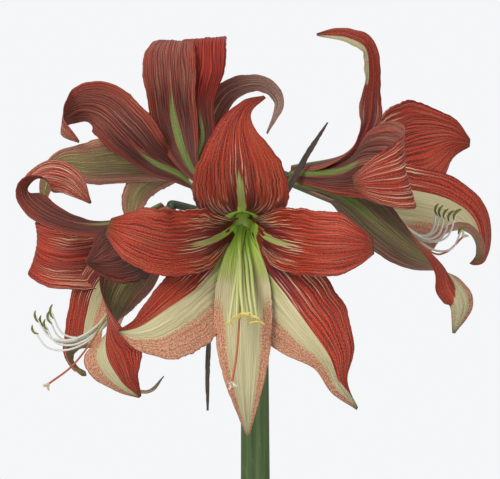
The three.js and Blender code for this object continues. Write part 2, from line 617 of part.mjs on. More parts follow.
// Leaves stand around the foot of the scape and are trimmed where they would touch it.
const leaves = [];
const leafRooms = [];
LEAVES.forEach((leaf) => {
  const start = { ...startOf(leaf), tube: 40 };
  leaves.push(cleared(blade(start, leaf, LEAF_THICKNESS), [scapeRoom, ...leafRooms]));
  leafRooms.push(blade(start, leaf, LEAF_THICKNESS, FIT_GAP));
});

// Bulb: a fat body with a neck. Scape and leaves stand in plain holes in the neck.
const bulbProfile = [[0, 74], [22, 76], [36, 84], [BULB_RADIUS, 100], [BULB_RADIUS, 116], [38, 132],
  [28, 146], [NECK_RADIUS + 1, 156], [NECK_RADIUS, NECK_TOP - 3], [NECK_RADIUS - 3, NECK_TOP], [0, NECK_TOP]];
const bulb = cleared(turned(bulbProfile, 16), [scapeRoom, ...leafRooms]);

const bulbRoomProfile = bulbProfile.map(([r, z]) => [r === 0 ? 0 : r + FIT_GAP, z < 80 ? z - FIT_GAP : z]);
const bulbRoom = turned(bulbRoomProfile, 16);

// Pot: tapered wall, raised rim and drain holes set off the centre.
const lip = POT_HEIGHT - RIM_HEIGHT;
const wallAt = (z) => POT_FOOT_RADIUS + ((POT_TOP_RADIUS - RIM_STEP - POT_FOOT_RADIUS) * z) / POT_HEIGHT;
const potProfile = [[0, 0], [POT_FOOT_RADIUS - 2, 0], [POT_FOOT_RADIUS, 2], [wallAt(lip - 1), lip - 1],
  [wallAt(lip) + RIM_STEP, lip + 1], [POT_TOP_RADIUS, POT_HEIGHT - 2], [POT_TOP_RADIUS - 2, POT_HEIGHT],
  [POT_TOP_RADIUS - POT_WALL - 1, POT_HEIGHT], [wallAt(POT_HEIGHT) - POT_WALL, POT_HEIGHT - 2],
  [wallAt(POT_FLOOR) - POT_WALL, POT_FLOOR], [0, POT_FLOOR]];
let pot = turned(potProfile, 30);
for (let i = 0; i < 4; i += 1) {
  const drain = new THREE.CylinderGeometry(DRAIN_RADIUS, DRAIN_RADIUS, POT_FLOOR * 3, 8);
  const angle = radians(45 + 90 * i);
  const cutter = placed(solidOf(drain), DRAIN_CIRCLE * Math.cos(angle), DRAIN_CIRCLE * Math.sin(angle), 0, 90);
  pot = pot.subtract(cutter);
}

const soilWall = (z) => wallAt(z) - POT_WALL - FIT_GAP;
const soilProfile = [[0, POT_FLOOR + FIT_GAP], [soilWall(POT_FLOOR) - 0.3, POT_FLOOR + FIT_GAP],
  [soilWall(SOIL_TOP - 2), SOIL_TOP - 2], [54, SOIL_TOP + 1], [30, SOIL_TOP + 3], [0, SOIL_TOP + 3]];
const soil = largest(turned(soilProfile, 32).subtract(bulbRoom));

addNode('pot', 'clay', pot);
addNode('soil', 'soil', soil);
addNode('bulb', 'bulb', bulb);
LEAVES.forEach((leaf, i) => addNode(`leaf_${leaf.name}`, 'leaf', leaves[i]));
addNode('scape', 'scape', scape);

// Pedicel with its ovary and the short plug that closes the foot of the flower's tube.
const taken = [scapeRoom];
FLOWERS.forEach((flower) => {
  const { axis } = crossFrame(flower);
  const at = (distance) => vec(flower.base).addScaledVector(axis, distance).toArray();
  const path = [...flower.pedicel, at(-6), at(-3), at(0), at(PLUG_LENGTH)];
  const stalk = (grow) => rod(path, [3.7, 3.2, 3.4, 4.2, 4.6, 4.2], 11, 8, grow);
  addNode(`${flower.name}_pedicel`, 'pedicel', cleared(stalk(0), taken));
  taken.push(stalk(FIT_GAP));
});

// Bracts, dry and narrow, held under the pedicels.
BRACTS.forEach((bract) => {
  const start = startOf(bract);
  addNode(`bract_${bract.name}`, 'bract', cleared(blade(start, bract, 1.6), taken));
  taken.push(blade(start, bract, 1.6, FIT_GAP));
});

// Tepals: each one is trimmed where it would cross a neighbour that is already in place.
const rooms = [...taken];
FLOWERS.forEach((flower) => {
  flower.tepals.forEach((tepal) => {
    const shape = { cup: PLAIN_CUP, ...tepal };
    const start = tepalStart(flower, tepal);
    const piece = cleared(blade(start, shape, TEPAL_THICKNESS), rooms);
    addNode(`${flower.name}_tepal_${tepal.name}`, tepal.look, piece);
    rooms.push(blade(start, shape, TEPAL_THICKNESS, FIT_GAP), piece);
  });
});

// Six filaments with their anthers, joined at the foot, and the pistil beside them.
FLOWERS.forEach((flower) => {
  const { axis, right, up } = crossFrame(flower);
  const at = (distance) => vec(flower.base).addScaledVector(axis, distance);
  const plate = at(PLUG_LENGTH + FIT_GAP + 0.6);
  const under = at(PLUG_LENGTH + FIT_GAP).toArray();
  const over = at(PLUG_LENGTH + FIT_GAP + 1.2).toArray();
  let stamens = rod([under, over], [4.1, 4.1], 1, 10);
  flower.fan.forEach((spreadOut, k) => {
    const angle = radians(60 * k + 30);
    const foot = plate.clone()
      .addScaledVector(right, 2.9 * Math.cos(angle))
      .addScaledVector(up, 2.9 * Math.sin(angle));
    const path = [foot.toArray(), ...flower.filaments].map((point, i, all) => {
      if (i === 0) return point;
      const share = i / (all.length - 1);
      const ringShare = (1 - share) ** 0.7;
      const ring = foot.clone().sub(plate).multiplyScalar(ringShare).toArray();
      return point.map((value, axisIndex) => value + ring[axisIndex] + spreadOut[axisIndex] * share ** 1.2);
    });
    stamens = stamens.add(rod(path, [1.1, 1, 0.9], 6, 3));
    const end = vec(path[path.length - 1]);
    const lean = vec(flower.anther).addScaledVector(vec(spreadOut), 0.15);
    const from = end.clone().addScaledVector(lean, -0.9).toArray();
    const to = end.clone().addScaledVector(lean, 0.9).toArray();
    stamens = stamens.add(rod([from, end.toArray(), to], [0.9, 1.8, 0.9], 2, 4));
  });
  let pistil = rod(flower.pistil, [1.2, 1.1, 1, 1.1], 8, 5);
  const tip = vec(flower.pistil[flower.pistil.length - 1]);
  const heading = vec(flower.stigma).normalize();
  const crosswise = heading.clone().cross(new THREE.Vector3(0, 1, 0.2)).normalize();
  for (let i = 0; i < 3; i += 1) {
    const aside = crosswise.clone().applyAxisAngle(heading, (i * 2 * Math.PI) / 3);
    const end = tip.clone().addScaledVector(heading.clone().addScaledVector(aside, 0.9), 3.4);
    pistil = pistil.add(rod([tip.toArray(), end.toArray()], [1.1, 0.9], 1, 4));
  }
  const pistilRoom = rod(flower.pistil, [1.2, 1.1, 1, 1.1], 8, 5, FIT_GAP);
  addNode(`${flower.name}_pistil`, 'style', cleared(pistil, rooms));
  addNode(`${flower.name}_stamens`, 'stamen', cleared(stamens, [...rooms, pistilRoom]));
});

export default scene;
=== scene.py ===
"""Looks of the potted amaryllis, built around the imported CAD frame.

Every blade is rebuilt on a fine grid from the same midribs that the solids follow, and gets
its colours from formulas over two coordinates: across the blade and along it. Lengths in the
tables are millimetres in the frame of the part: the origin is under the pot, +Z is up.
"""

import math

import bpy
import numpy as np
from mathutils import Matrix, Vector


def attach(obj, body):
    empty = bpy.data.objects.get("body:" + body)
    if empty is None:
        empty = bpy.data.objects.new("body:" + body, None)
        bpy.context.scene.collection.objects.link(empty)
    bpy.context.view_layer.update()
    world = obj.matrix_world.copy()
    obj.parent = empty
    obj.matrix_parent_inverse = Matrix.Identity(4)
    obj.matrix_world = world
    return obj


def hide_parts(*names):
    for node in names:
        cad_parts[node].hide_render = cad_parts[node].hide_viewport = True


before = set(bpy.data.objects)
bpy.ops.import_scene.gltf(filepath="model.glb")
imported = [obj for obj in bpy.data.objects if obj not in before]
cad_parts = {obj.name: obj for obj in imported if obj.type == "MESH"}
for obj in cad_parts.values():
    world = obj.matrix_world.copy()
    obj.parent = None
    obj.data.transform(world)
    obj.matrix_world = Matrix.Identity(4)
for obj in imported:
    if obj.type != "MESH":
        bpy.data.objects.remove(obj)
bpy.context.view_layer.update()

MM = 0.001
TURN = 2 * math.pi

# Sizes that repeat the driving dimensions of the solids.
POT_HEIGHT = 125
POT_TOP_RADIUS = 75
POT_FOOT_RADIUS = 52
POT_WALL = 5.5
POT_FLOOR = 7
DRAIN_RADIUS = 5
DRAIN_CIRCLE = 28
RIM_HEIGHT = 24
RIM_STEP = 3.5
SOIL_TOP = 108
BULB_RADIUS = 44
NECK_TOP = 168
NECK_RADIUS = 21
SCAPE_FOOT = 154
SCAPE_TOP = 553
SCAPE_RADIUS = 9.4
SCAPE_FOOT_RADIUS = 11.5
INNER_RING = 5.6
OUTER_RING = 7.2
PLUG_LENGTH = 4
TEPAL_THICKNESS = 0.7
LEAF_THICKNESS = 1.6

# The photograph: its frame, and where the camera stood.
PHOTO_WIDTH = 500
CAMERA_PLACE = (-3.5, -1700, 531)
MM_PER_PIXEL = 0.7
SENSOR = 36

SIDE = [0.2, 0.32, 0.6, 0.9, 1, 1, 0.88, 0.25]
SPEAR = [0.24, 0.42, 0.72, 0.96, 1, 0.82, 0.45, 0.04]
PLAIN_CUP = [18, 10, 0]
# Flowers. Each row of a rib is x, y, z and the direction in which the inner face looks there.
# Tepals of a flower are listed from the one that lies on top of its neighbours downwards.
FLOWERS = [
  {
    "name": "front",
    "base": [-8, -46, 546],
    "axis": [-0.03, -0.93, -0.37],
    "pedicel": [[0, -6, 549], [-4, -20, 551]],
    "tepals": [
      {
        "name": "bottom", "azimuth": -90, "inner": True, "half": 19,
        "outline": SPEAR,
        "skin": {"pale": 2, "speck": 0.42},
        "rib": [[-9, -66, 528, 0, 0.1, 1], [-8, -98, 508, 0, -0.7, 0.6], [-8, -117, 478, 0, -0.95, 0.3],
          [-7, -119, 442, 0, -1, 0], [-5, -104, 401, 0, -0.9, -0.4]],
      },
      {
        "name": "left", "azimuth": 160, "inner": True, "half": 19, "halfMinus": 24,
        "outline": SIDE,
        "skin": {"star": 0.52, "star_width": 2.4, "throat": 0.13},
        "rib": [[-17, -66, 538, 1, 0, 0], [-33, -104, 529, 0.6, -0.75, 0],
          [-56, -133, 526, 0.35, -0.93, 0.1], [-77, -143, 532, 0, -1, 0.1],
          [-95, -138, 539, -0.3, -0.95, 0.1]],
      },
      {
        "name": "right", "azimuth": 20, "inner": True, "half": 25, "halfMinus": 18,
        "outline": SIDE,
        "skin": {"star": 0.52, "star_width": 2.4, "throat": 0.13},
        "rib": [[1, -66, 538, -1, 0, 0], [16, -104, 529, -0.6, -0.75, 0],
          [37, -133, 525, -0.35, -0.93, 0.1], [59, -143, 525, 0, -1, 0.1],
          [76, -140, 526, 0.3, -0.95, 0.1]],
      },
      {
        "name": "top", "azimuth": 90, "half": 31,
        "outline": [0.24, 0.5, 0.82, 1, 1.02, 0.88, 0.55, 0.2, 0.04],
        "skin": {"star": 0.55, "star_width": 2.9, "streak": 0.5},
        "rib": [[-9, -66, 550, 0, 0.2, -1], [-9, -102, 558, 0, -0.5, -0.8],
          [-11, -130, 578, 0, -0.85, -0.5], [-12, -141, 602, 0, -0.98, 0.1],
          [-6, -140, 616, 0.3, -0.9, 0.3], [6, -134, 623, 0.5, -0.5, 0.7]],
      },
      {
        "name": "lower_left", "azimuth": 212, "half": 31, "halfMinus": 23,
        "outline": [0.25, 0.42, 0.68, 0.9, 1, 1.06, 0.88, 0.02],
        "outlineMinus": [0.25, 0.42, 0.68, 0.9, 0.92, 0.75, 0.42, 0.04], "cup": [18, -5, -14, -10],
        "cupMinus": PLAIN_CUP,
        "skin": {"pale": 1},
        "rib": [[-15, -62, 532, 0.8, 0.1, 0.6], [-23, -88, 515, 0.5, -0.6, 0.5],
          [-38, -114, 498, 0.3, -0.9, 0.3], [-56, -135, 486, 0, -1, 0.1], [-74, -146, 475, 0, -1, 0.1],
          [-88, -143, 472, -0.1, -1, 0.1]],
      },
      {
        "name": "lower_right", "azimuth": -32, "half": 27,
        "outline": [0.25, 0.4, 0.65, 0.92, 1.06, 1.12, 1.1, 0.74, 0.24, 0.05],
        "outlineMinus": [0.25, 0.4, 0.65, 0.92, 1.05, 1.08, 0.8, 0.42, 0.28, 0.06],
        "cup": [18, 0, -14, -8], "cupMinus": [18, 10, 10, 0],
        "skin": {"pale": -1, "tail": 0.86},
        "rib": [[-1, -66, 532, -0.8, 0.1, 0.6], [5, -92, 512, -0.4, -0.7, 0.5],
          [19, -108, 493, -0.2, -0.95, 0.2], [34, -114, 472, 0.1, -1, 0.1], [47, -114, 454, 0.1, -1, 0.1],
          [55, -110, 436, 0.3, -0.9, 0.1], [67, -104, 420, 0.5, -0.6, 0.5]],
      },
    ],
    "filaments": [[-9, -75, 530], [-8, -100, 515], [-8, -125, 498], [-7, -148, 480]],
    "fan": [[-10, 0, -3], [-5, 2, 1], [-1, -3, 3], [2, 3, 3], [5, -2, 1], [8, 0, -2]],
    "anther": [4, -1, 0],
    "pistil": [[-8.2, -51.8, 543.7], [-9, -88, 518], [-10, -128, 486], [-12, -152, 458],
      [-15, -160, 440]],
    "stigma": [0, -1, -1],
  },
  {
    "name": "back",
    "base": [-37, 35, 568],
    "axis": [-0.46, 0.6, 0.66],
    "pedicel": [[-4, 4, 549], [-16, 14, 551]],
    "tepals": [
      {
        "name": "upright", "azimuth": 60, "half": 19,
        "outline": [0.24, 0.42, 0.72, 0.9, 0.95, 1, 0.95, 0.78, 0.35],
        "outlineMinus": [0.24, 0.42, 0.72, 0.9, 0.95, 1, 0.82, 0.5, 0.2],
        "skin": {"band": 0.55},
        "rib": [[-49, 40, 588, 0, 1, -0.2], [-58, 49, 617, 0, 0.9, 0.3], [-61, 42, 645, 0, 1, 0.1],
          [-62, 45, 664, 0, 0.95, -0.2], [-60, 60, 675, 0, 0.5, -0.85], [-57, 82, 672, 0, 0, -1]],
      },
      {
        "name": "top", "azimuth": 120, "inner": True, "half": 16,
        "outline": [0.3, 0.45, 0.62, 0.68, 0.8, 1.02, 1.05, 0.8],
        "skin": {"outer": "red", "band": 0.5},
        "rib": [[-42, 48, 588, 0, 1, -0.2], [-38, 55, 606, -0.3, 0.9, 0.2],
          [-41, 53, 631, -0.2, 0.95, 0.1], [-38, 51, 653, 0, 1, -0.1], [-37, 57, 674, 0.1, 0.6, -0.8],
          [-33, 74, 678, 0.1, 0, -1]],
      },
      {
        "name": "left", "azimuth": 0, "inner": True, "half": 25, "halfMinus": 15,
        "outline": SPEAR,
        "skin": {"band": 0.4, "blush": 0.6},
        "rib": [[-54, 47, 577, 0, 1, -0.2], [-74, 46, 587, 0.3, 0.9, 0.3], [-93, 38, 604, 0.1, 0.95, 0.3],
          [-111, 38, 621, -0.3, 0.8, 0.5], [-128, 42, 623, -0.8, 0.5, 0.3],
          [-138, 33, 611, -0.9, -0.3, -0.1], [-125, 24, 600, -0.5, -0.85, -0.1]],
      },
      {
        "name": "right", "azimuth": 180, "half": 14,
        "outline": [0.24, 0.42, 0.75, 0.88, 0.78, 0.62, 0.42, 0.36, 0.1],
        "skin": {"fade": 0.85},
        "rib": [[-42, 58, 588, -0.7, 0.4, 0.2], [-36, 70, 611, -0.7, 0.7, 0.2],
          [-20, 75, 638, -0.4, 0.9, 0.4], [4, 80, 645, 0.1, 0.8, 0.6], [18, 85, 632, 0.7, 0.6, 0.3],
          [9, 88, 609, 0.9, 0.4, -0.2]],
      },
      {
        "name": "lower", "azimuth": 300, "half": 23,
        "outline": [0.25, 0.42, 0.75, 0.95, 1, 0.8, 0.5, 0.3, 0.05],
        "skin": {"outer": "green"},
        "rib": [[-55, 58, 582, 0.2, 0.8, 0.6], [-76, 62, 588, 0.2, 0.8, 0.6],
          [-99, 58, 588, 0.1, 0.8, 0.6], [-120, 50, 586, 0, 0.8, 0.6], [-139, 46, 586, -0.2, 0.8, 0.5],
          [-149, 42, 572, -0.6, 0.8, 0.2], [-152, 40, 554, -0.6, 0.8, 0.2]],
      },
      {
        "name": "hanging", "azimuth": 240, "inner": True, "half": 15,
        "outline": [0.24, 0.45, 0.8, 1, 0.92, 0.75, 0.5, 0.08],
        "skin": {"outer": "green"},
        "rib": [[-56, 66, 579, 0.2, 0.4, 0.9], [-70, 76, 578, 0.1, 0.6, 0.8],
          [-82, 80, 571, -0.3, 0.85, 0.4], [-89, 80, 558, -0.2, 0.95, 0.1], [-90, 78, 538, -0.1, 1, 0.1]],
      },
    ],
    "filaments": [[-48, 57, 586], [-61, 76, 604], [-74, 94, 616], [-84, 112, 622]],
    "fan": [[-5, 2, -2], [-3, 5, 1], [-1, 1, 3], [3, 4, 2], [6, 1, 1], [9, 2, -2]],
    "anther": [3, 2, 2],
    "pistil": [[-39.2, 37.9, 571.2], [-47, 56, 585], [-60, 76, 600], [-72, 98, 610], [-82, 122, 612],
      [-90, 134, 616]],
    "stigma": [-1, 1, 0],
  },
  {
    "name": "left",
    "base": [-60, -8, 551],
    "axis": [-0.64, -0.22, -0.74],
    "pedicel": [[-6, 0, 549], [-32, -3, 550]],
    "tepals": [
      {
        "name": "near", "azimuth": 30, "inner": True, "half": 22,
        "outline": SPEAR,
        "skin": {"band": 0.6, "painted_shade": 1},
        "rib": [[-79, -35, 529, -0.4, 0.8, -0.4], [-92, -62, 520, -0.5, 0.6, -0.5],
          [-103, -85, 516, -0.7, 0.4, -0.4], [-111, -105, 516, -0.9, 0.2, -0.2]],
      },
      {
        "name": "top", "azimuth": 90, "half": 15,
        "outline": [0.4, 0.6, 0.85, 1, 0.97, 0.88, 0.75, 0.85, 0.6, 0.06],
        "skin": {"band": 0.4, "blush": 0.6},
        "rib": [[-86, -18, 546, 0, 0.3, -1], [-113, -30, 541, 0, 0.45, -0.9],
          [-139, -38, 548, -0.2, 0.6, -0.8], [-156, -38, 562, -0.8, 0.6, -0.1],
          [-153, -32, 572, -0.6, -0.3, 0.7], [-142, -26, 575, -0.3, -0.8, 0.5],
          [-128, -25, 571, -0.1, -0.95, 0.3], [-113, -30, 556, 0.2, -0.95, 0.2]],
      },
      {
        "name": "low_near", "azimuth": 330, "half": 28, "halfMinus": 18,
        "outline": [0.3, 0.6, 0.95, 1.05, 0.95, 0.9, 0.95, 1, 0.6, 0.06],
        "cup": [18, 14, -15, -75, -30, 0], "cupMinus": [18, 10, 10, 0],
        "skin": {"pale": -1, "outer": "green", "painted_shade": 0.5},
        "rib": [[-72, -22, 531, -0.3, 0.9, -0.2], [-82, -32, 511, -0.4, 0.9, 0],
          [-94, -40, 491, -0.6, 0.8, 0], [-101, -42, 469, -1, 0, 0], [-102, -45, 451, -0.6, -0.8, -0.2],
          [-92, -42, 434, -0.5, -0.8, -0.3], [-79, -36, 423, -0.4, -0.9, -0.3]],
      },
      {
        "name": "far", "azimuth": 150, "inner": True, "half": 23,
        "outline": [0.3, 0.5, 0.85, 1, 0.95, 0.9, 0.7, 0.45, 0.06],
        "skin": {"streak": 0.8, "star": 0.2},
        "rib": [[-88, 12, 527, 0, -1, 0], [-112, 22, 519, 0, -1, 0], [-134, 20, 517, -0.2, -1, 0],
          [-152, 28, 522, -0.8, -0.6, 0.2], [-156, 44, 529, -0.9, 0.3, 0.2],
          [-147, 58, 539, -0.3, 0.9, 0.2], [-131, 62, 545, 0.3, 0.9, 0.1]],
      },
      {
        "name": "low_far", "azimuth": 210, "half": 16,
        "outline": [0.3, 0.55, 0.95, 1, 1, 1, 1, 0.9, 0.12],
        "skin": {"pale": 1, "outer": "green"},
        "rib": [[-95, 12, 515, 0, -1, 0], [-112, 20, 497, -0.2, -1, 0], [-119, 22, 476, -0.5, -0.85, 0],
          [-122, 16, 458, -0.6, -0.8, 0], [-129, 5, 448, -0.8, -0.3, -0.5],
          [-119, -8, 436, -0.3, 0.4, -0.85]],
      },
      {
        "name": "low_back", "azimuth": 270, "inner": True, "half": 12,
        "outline": SPEAR,
        "skin": {"pale": 2, "outer": "green"},
        "rib": [[-74, 8, 520, -0.9, -0.2, 0.3], [-86, 18, 499, -0.9, -0.2, 0.3],
          [-97, 22, 470, -1, -0.2, 0.1], [-104, 20, 448, -1, -0.2, 0], [-92, 15, 428, -0.5, -0.3, -0.8],
          [-75, 10, 424, 0.1, -0.4, -0.9], [-64, 5, 435, 0.7, -0.4, -0.6]],
      },
    ],
    "filaments": [[-77, -13, 526], [-91, -16, 496], [-104, -19, 472], [-121, -20, 460], [-137, -20, 461],
      [-145, -20, 474]],
    "fan": [[-6, -2, 3], [-3, 2, 0], [0, -3, -2], [2, 3, 3], [4, 0, 7], [-8, 1, -6]],
    "anther": [-1, 0, 4],
    "pistil": [[-63, -9, 547.5], [-84, -20, 508], [-103, -24, 478], [-112, -25, 462], [-126, -24, 444],
      [-143, -22, 431]],
    "stigma": [-1, 0, -1],
  },
  {
    "name": "right",
    "base": [25, 15, 575],
    "axis": [0.95, -0.25, -0.1],
    "pedicel": [[4, 5, 549], [8, 12, 560]],
    "tepals": [
      {
        "name": "near", "azimuth": 150, "inner": True, "half": 27,
        "outline": [0.24, 0.42, 0.72, 0.92, 1, 1, 0.75, 0.2],
        "skin": {"band": 0.45, "fade": 0.3, "streak": 1, "blush": 0.35},
        "rib": [[56, -12, 578, 0, 0.8, -0.5], [76, -45, 584, 0.8, 0.5, -0.2], [97, -74, 580, 1, 0.1, 0],
          [97, -92, 573, 0.5, -0.85, 0], [65, -94, 568, -0.1, -0.98, 0.2]],
      },
      {
        "name": "low_near", "azimuth": 210, "half": 19, "halfMinus": 25,
        "outline": [0.3, 0.5, 0.85, 1, 1, 0.95, 0.85, 0.75, 0.45, 0.06], "cup": PLAIN_CUP,
        "cupMinus": [18, -10, -50, -80, -95, -40],
        "skin": {"pale": 1, "tail": 0.78, "outer": "green", "band": 0.45, "painted_shade": 0.8},
        "rib": [[59, -2, 562, 0, 0.8, 0.5], [89, -12, 539, 0.1, 0.85, 0.4],
          [109, -18, 524, 0.3, 0.8, 0.5], [127, -20, 514, 0.7, 0.4, 0.6], [138, -20, 501, 0.8, -0.4, 0.5],
          [145, -20, 486, 0.7, -0.7, 0.2], [138, -15, 466, 0.7, -0.7, 0.1]],
      },
      {
        "name": "far", "azimuth": 30, "inner": True, "half": 30,
        "outline": [0.2, 0.3, 0.45, 0.8, 1.1, 1.08, 0.62, 0.1],
        "skin": {"streak": 0.8, "star": 0.3},
        "rib": [[61, 30, 580, 0, -0.9, -0.4], [94, 50, 592, 0.3, -0.9, -0.2],
          [120, 62, 600, 0.3, -0.9, 0], [141, 72, 605, 0.35, -0.9, 0.1], [158, 84, 602, 0.4, -0.9, 0.1]],
      },
      {
        "name": "top", "azimuth": 90, "half": 17,
        "outline": [0.4, 0.7, 1, 0.9, 0.6, 0.55, 0.9, 0.75, 0.55, 0.5, 0.5, 0.48, 0.35, 0.06],
        "skin": {"band": 0.3, "star": 0.2, "pale_end": 0.62},
        "rib": [[63, 8, 590, 0.1, -0.2, -1], [78, 10, 609, 0.8, -0.5, -0.3], [81, 8, 630, 0.8, -0.6, 0],
          [82, 4, 651, 0.7, -0.7, 0], [78, 0, 667, 0.7, -0.6, 0.4], [63, -4, 674, 0.2, -0.7, 0.7],
          [43, -6, 674, 0, -0.8, 0.6]],
      },
      {
        "name": "low_far", "azimuth": -30, "half": 30, "halfMinus": 33,
        "outline": [0.2, 0.35, 0.6, 0.9, 1.05, 1, 0.95, 0.75, 0.12],
        "skin": {"pale": -1, "outer": "green", "shift": 0.35, "speck": 0.45},
        "rib": [[61, 28, 570, 0, -0.9, 0.4], [101, 45, 557, 0.2, -0.9, 0.3],
          [127, 48, 552, 0.2, -0.9, 0.3], [147, 45, 544, 0.4, -0.8, 0.4], [158, 35, 530, 0.9, -0.2, 0.4],
          [157, 20, 515, 0.5, 0.85, -0.1]],
      },
      {
        "name": "low_back", "azimuth": 270, "inner": True, "half": 16,
        "outline": SPEAR,
        "skin": {"pale": 2, "outer": "green"},
        "rib": [[57, 12, 556, 0.2, -0.1, 1], [86, 35, 543, 0.5, -0.1, 0.8], [108, 42, 531, 0.5, 0, 0.8],
          [123, 50, 522, 0.5, 0, 0.8], [132, 62, 515, 0.4, 0.1, 0.8]],
      },
    ],
    "filaments": [[53, 7, 569], [76, 4, 558], [98, 3, 544], [116, 4, 532], [127, 3, 535], [131, 2, 550]],
    "fan": [[-4, -2, 2], [-1, 2, 1], [2, -3, -1], [6, 3, -2], [10, -1, -1], [14, 2, -12]],
    "anther": [1, 0, 4],
    "pistil": [[30.2, 13.6, 574.4], [60, 0, 563], [96, -3, 543], [122, 2, 523], [134, 6, 522],
      [146, 4, 533]],
    "stigma": [1, 0, 1],
  },
]

# Leaves: straps that rise from the neck of the bulb and arch outwards.
LEAF_OUTLINE = [0.55, 0.75, 0.92, 1, 1, 0.95, 0.8, 0.5, 0.08]
LEAVES = [
  {
    "name": "right", "half": 22, "outline": LEAF_OUTLINE, "cup": [38, 16, 8], "ruffle": 0.6,
    "rib": [[22, -4, 200, -0.95, 0.15, 0.2], [36, -12, 252, -0.85, 0.25, 0.4],
      [66, -24, 302, -0.55, 0.15, 0.8],
      [108, -38, 322, 0, 0, 1], [150, -50, 300, 0.45, -0.1, 0.85]],
    "start": [15.5, -2.5, 158, -0.98, 0.15, 0],
  },
  {
    "name": "left", "half": 21, "outline": LEAF_OUTLINE, "cup": [38, 16, 8], "ruffle": 0.6, "phase": 0.3,
    "rib": [[-23, -2, 205, 0.95, 0.1, 0.2], [-38, -8, 262, 0.85, 0.2, 0.35],
      [-62, -20, 312, 0.6, 0.15, 0.75],
      [-100, -32, 338, 0, 0, 1], [-140, -40, 322, -0.4, -0.1, 0.9]],
    "start": [-15.5, -1.5, 158, 0.98, 0.15, 0],
  },
  {
    "name": "back", "half": 21, "outline": LEAF_OUTLINE, "cup": [38, 16, 8], "ruffle": 0.6, "phase": 0.6,
    "rib": [[3, 24, 206, 0, -0.95, 0.2], [8, 40, 262, -0.1, -0.85, 0.4], [20, 68, 310, -0.1, -0.6, 0.75],
      [34, 106, 334, 0, 0, 1], [46, 142, 322, 0.1, 0.35, 0.9]],
    "start": [1.5, 15.5, 158, 0, -1, 0],
  },
  {
    "name": "front", "half": 19, "outline": LEAF_OUTLINE, "cup": [38, 16, 8], "ruffle": 0.6, "phase": 0.8,
    "rib": [[-5, -24, 196, 0, 0.95, 0.2], [-12, -42, 240, 0.1, 0.85, 0.4], [-24, -70, 278, 0.15, 0.6, 0.75],
      [-38, -104, 292, 0, 0, 1], [-50, -134, 276, -0.1, -0.45, 0.85]],
    "start": [-1.5, -15.5, 158, 0, 1, 0],
  },
]

BRACTS = [
  {
    "name": "upright", "half": 3.3, "outline": [0.9, 1, 0.9, 0.8, 0.6, 0.2], "cup": [30, 30, 20],
    "ruffle": 0.2,
    "rib": [[20, -1, 562, 0.5, -0.8, 0.2], [29, -2, 577, 0.3, -0.9, 0.2], [38, 0, 593, 0.2, -0.9, 0.2],
      [51, 2, 613, 0.3, -0.9, 0]],
    "start": [9, 0, 549, 0.3, -0.9, 0.3],
  },
  {
    "name": "hanging", "half": 3.2, "outline": [1, 1, 0.8, 0.6, 0.6, 0.3], "cup": [30, 30, 20],
    "ruffle": 0.2,
    "rib": [[-20, -12, 540, -0.3, -0.9, 0], [-27, -14, 515, -0.2, -0.9, 0], [-31, -13, 475, -0.1, -0.95, 0],
      [-33, -11, 440, 0, -1, 0], [-33, -10, 412, 0, -1, 0]],
    "start": [-8, -6, 548, -0.3, -0.9, 0.3],
  },
]


def unit(vectors):
    vectors = np.asarray(vectors, float)
    return vectors / np.linalg.norm(vectors, axis=-1, keepdims=True)


def ramp(x, low, high):
    """Smooth step from 0 at low to 1 at high."""
    t = np.clip((x - low) / (high - low), 0, 1)
    return t * t * (3 - 2 * t)


def along(values, t):
    """Smooth curve through evenly spaced values, or rows of values, read at places t from 0 to 1."""
    values = np.asarray(values, float)
    t = np.asarray(t, float)
    last = len(values) - 1
    x = np.clip(t, 0, 1) * last
    i = np.minimum(x.astype(int), last - 1)
    f = x - i
    if values.ndim > 1:
        f = f[..., None]
    padded = np.concatenate([[2 * values[0] - values[1]], values, [2 * values[-1] - values[-2]]])
    a, b, c, d = padded[i], padded[i + 1], padded[i + 2], padded[i + 3]
    return 0.5 * (2 * b + (c - a) * f + (2 * a - 5 * b + 4 * c - d) * f**2 + (3 * b - a - 3 * c + d) * f**3)


def hills(x, seed, count=5):
    """A smooth, seeded wander of about one unit, for edges that aren't quite even."""
    rng = np.random.default_rng(seed)
    total = np.zeros_like(np.asarray(x, float))
    for k in range(1, count + 1):
        total += rng.normal() / k**0.7 * np.sin(TURN * (k * x + rng.random()))
    return total


# Meshes.


def new_object(name, points, faces, materials, smooth=True):
    mesh = bpy.data.meshes.new(name)
    mesh.from_pydata((np.asarray(points) * MM).tolist(), [], [list(map(int, face)) for face in faces])
    for material in materials:
        mesh.materials.append(material)
    mesh.polygons.foreach_set("use_smooth", [smooth] * len(mesh.polygons))
    mesh.update()
    piece = bpy.data.objects.new(name, mesh)
    bpy.context.scene.collection.objects.link(piece)
    return piece


def stand_for(piece, node):
    """Makes a piece ride with the plant and stand in for its solid."""
    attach(piece, "root")
    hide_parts(node)
    return piece


def give(piece, name, values, kind="FLOAT_VECTOR"):
    """Stores a value at each point of a piece, for its materials to read."""
    attribute = piece.data.attributes.new(name, kind, "POINT")
    key = {"FLOAT_VECTOR": "vector", "FLOAT_COLOR": "color"}[kind]
    attribute.data.foreach_set(key, np.ascontiguousarray(values, dtype=np.float32).ravel())


def strip_faces(rows, columns, closed=False):
    """Quads of a grid with rows + 1 lines of columns + 1 points, or of columns points if closed."""
    wide = columns if closed else columns + 1
    faces = []
    for i in range(rows):
        for j in range(columns):
            a = i * wide + j
            b = i * wide + (j + 1) % wide
            faces.append((a, b, b + wide, a + wide))
    return faces


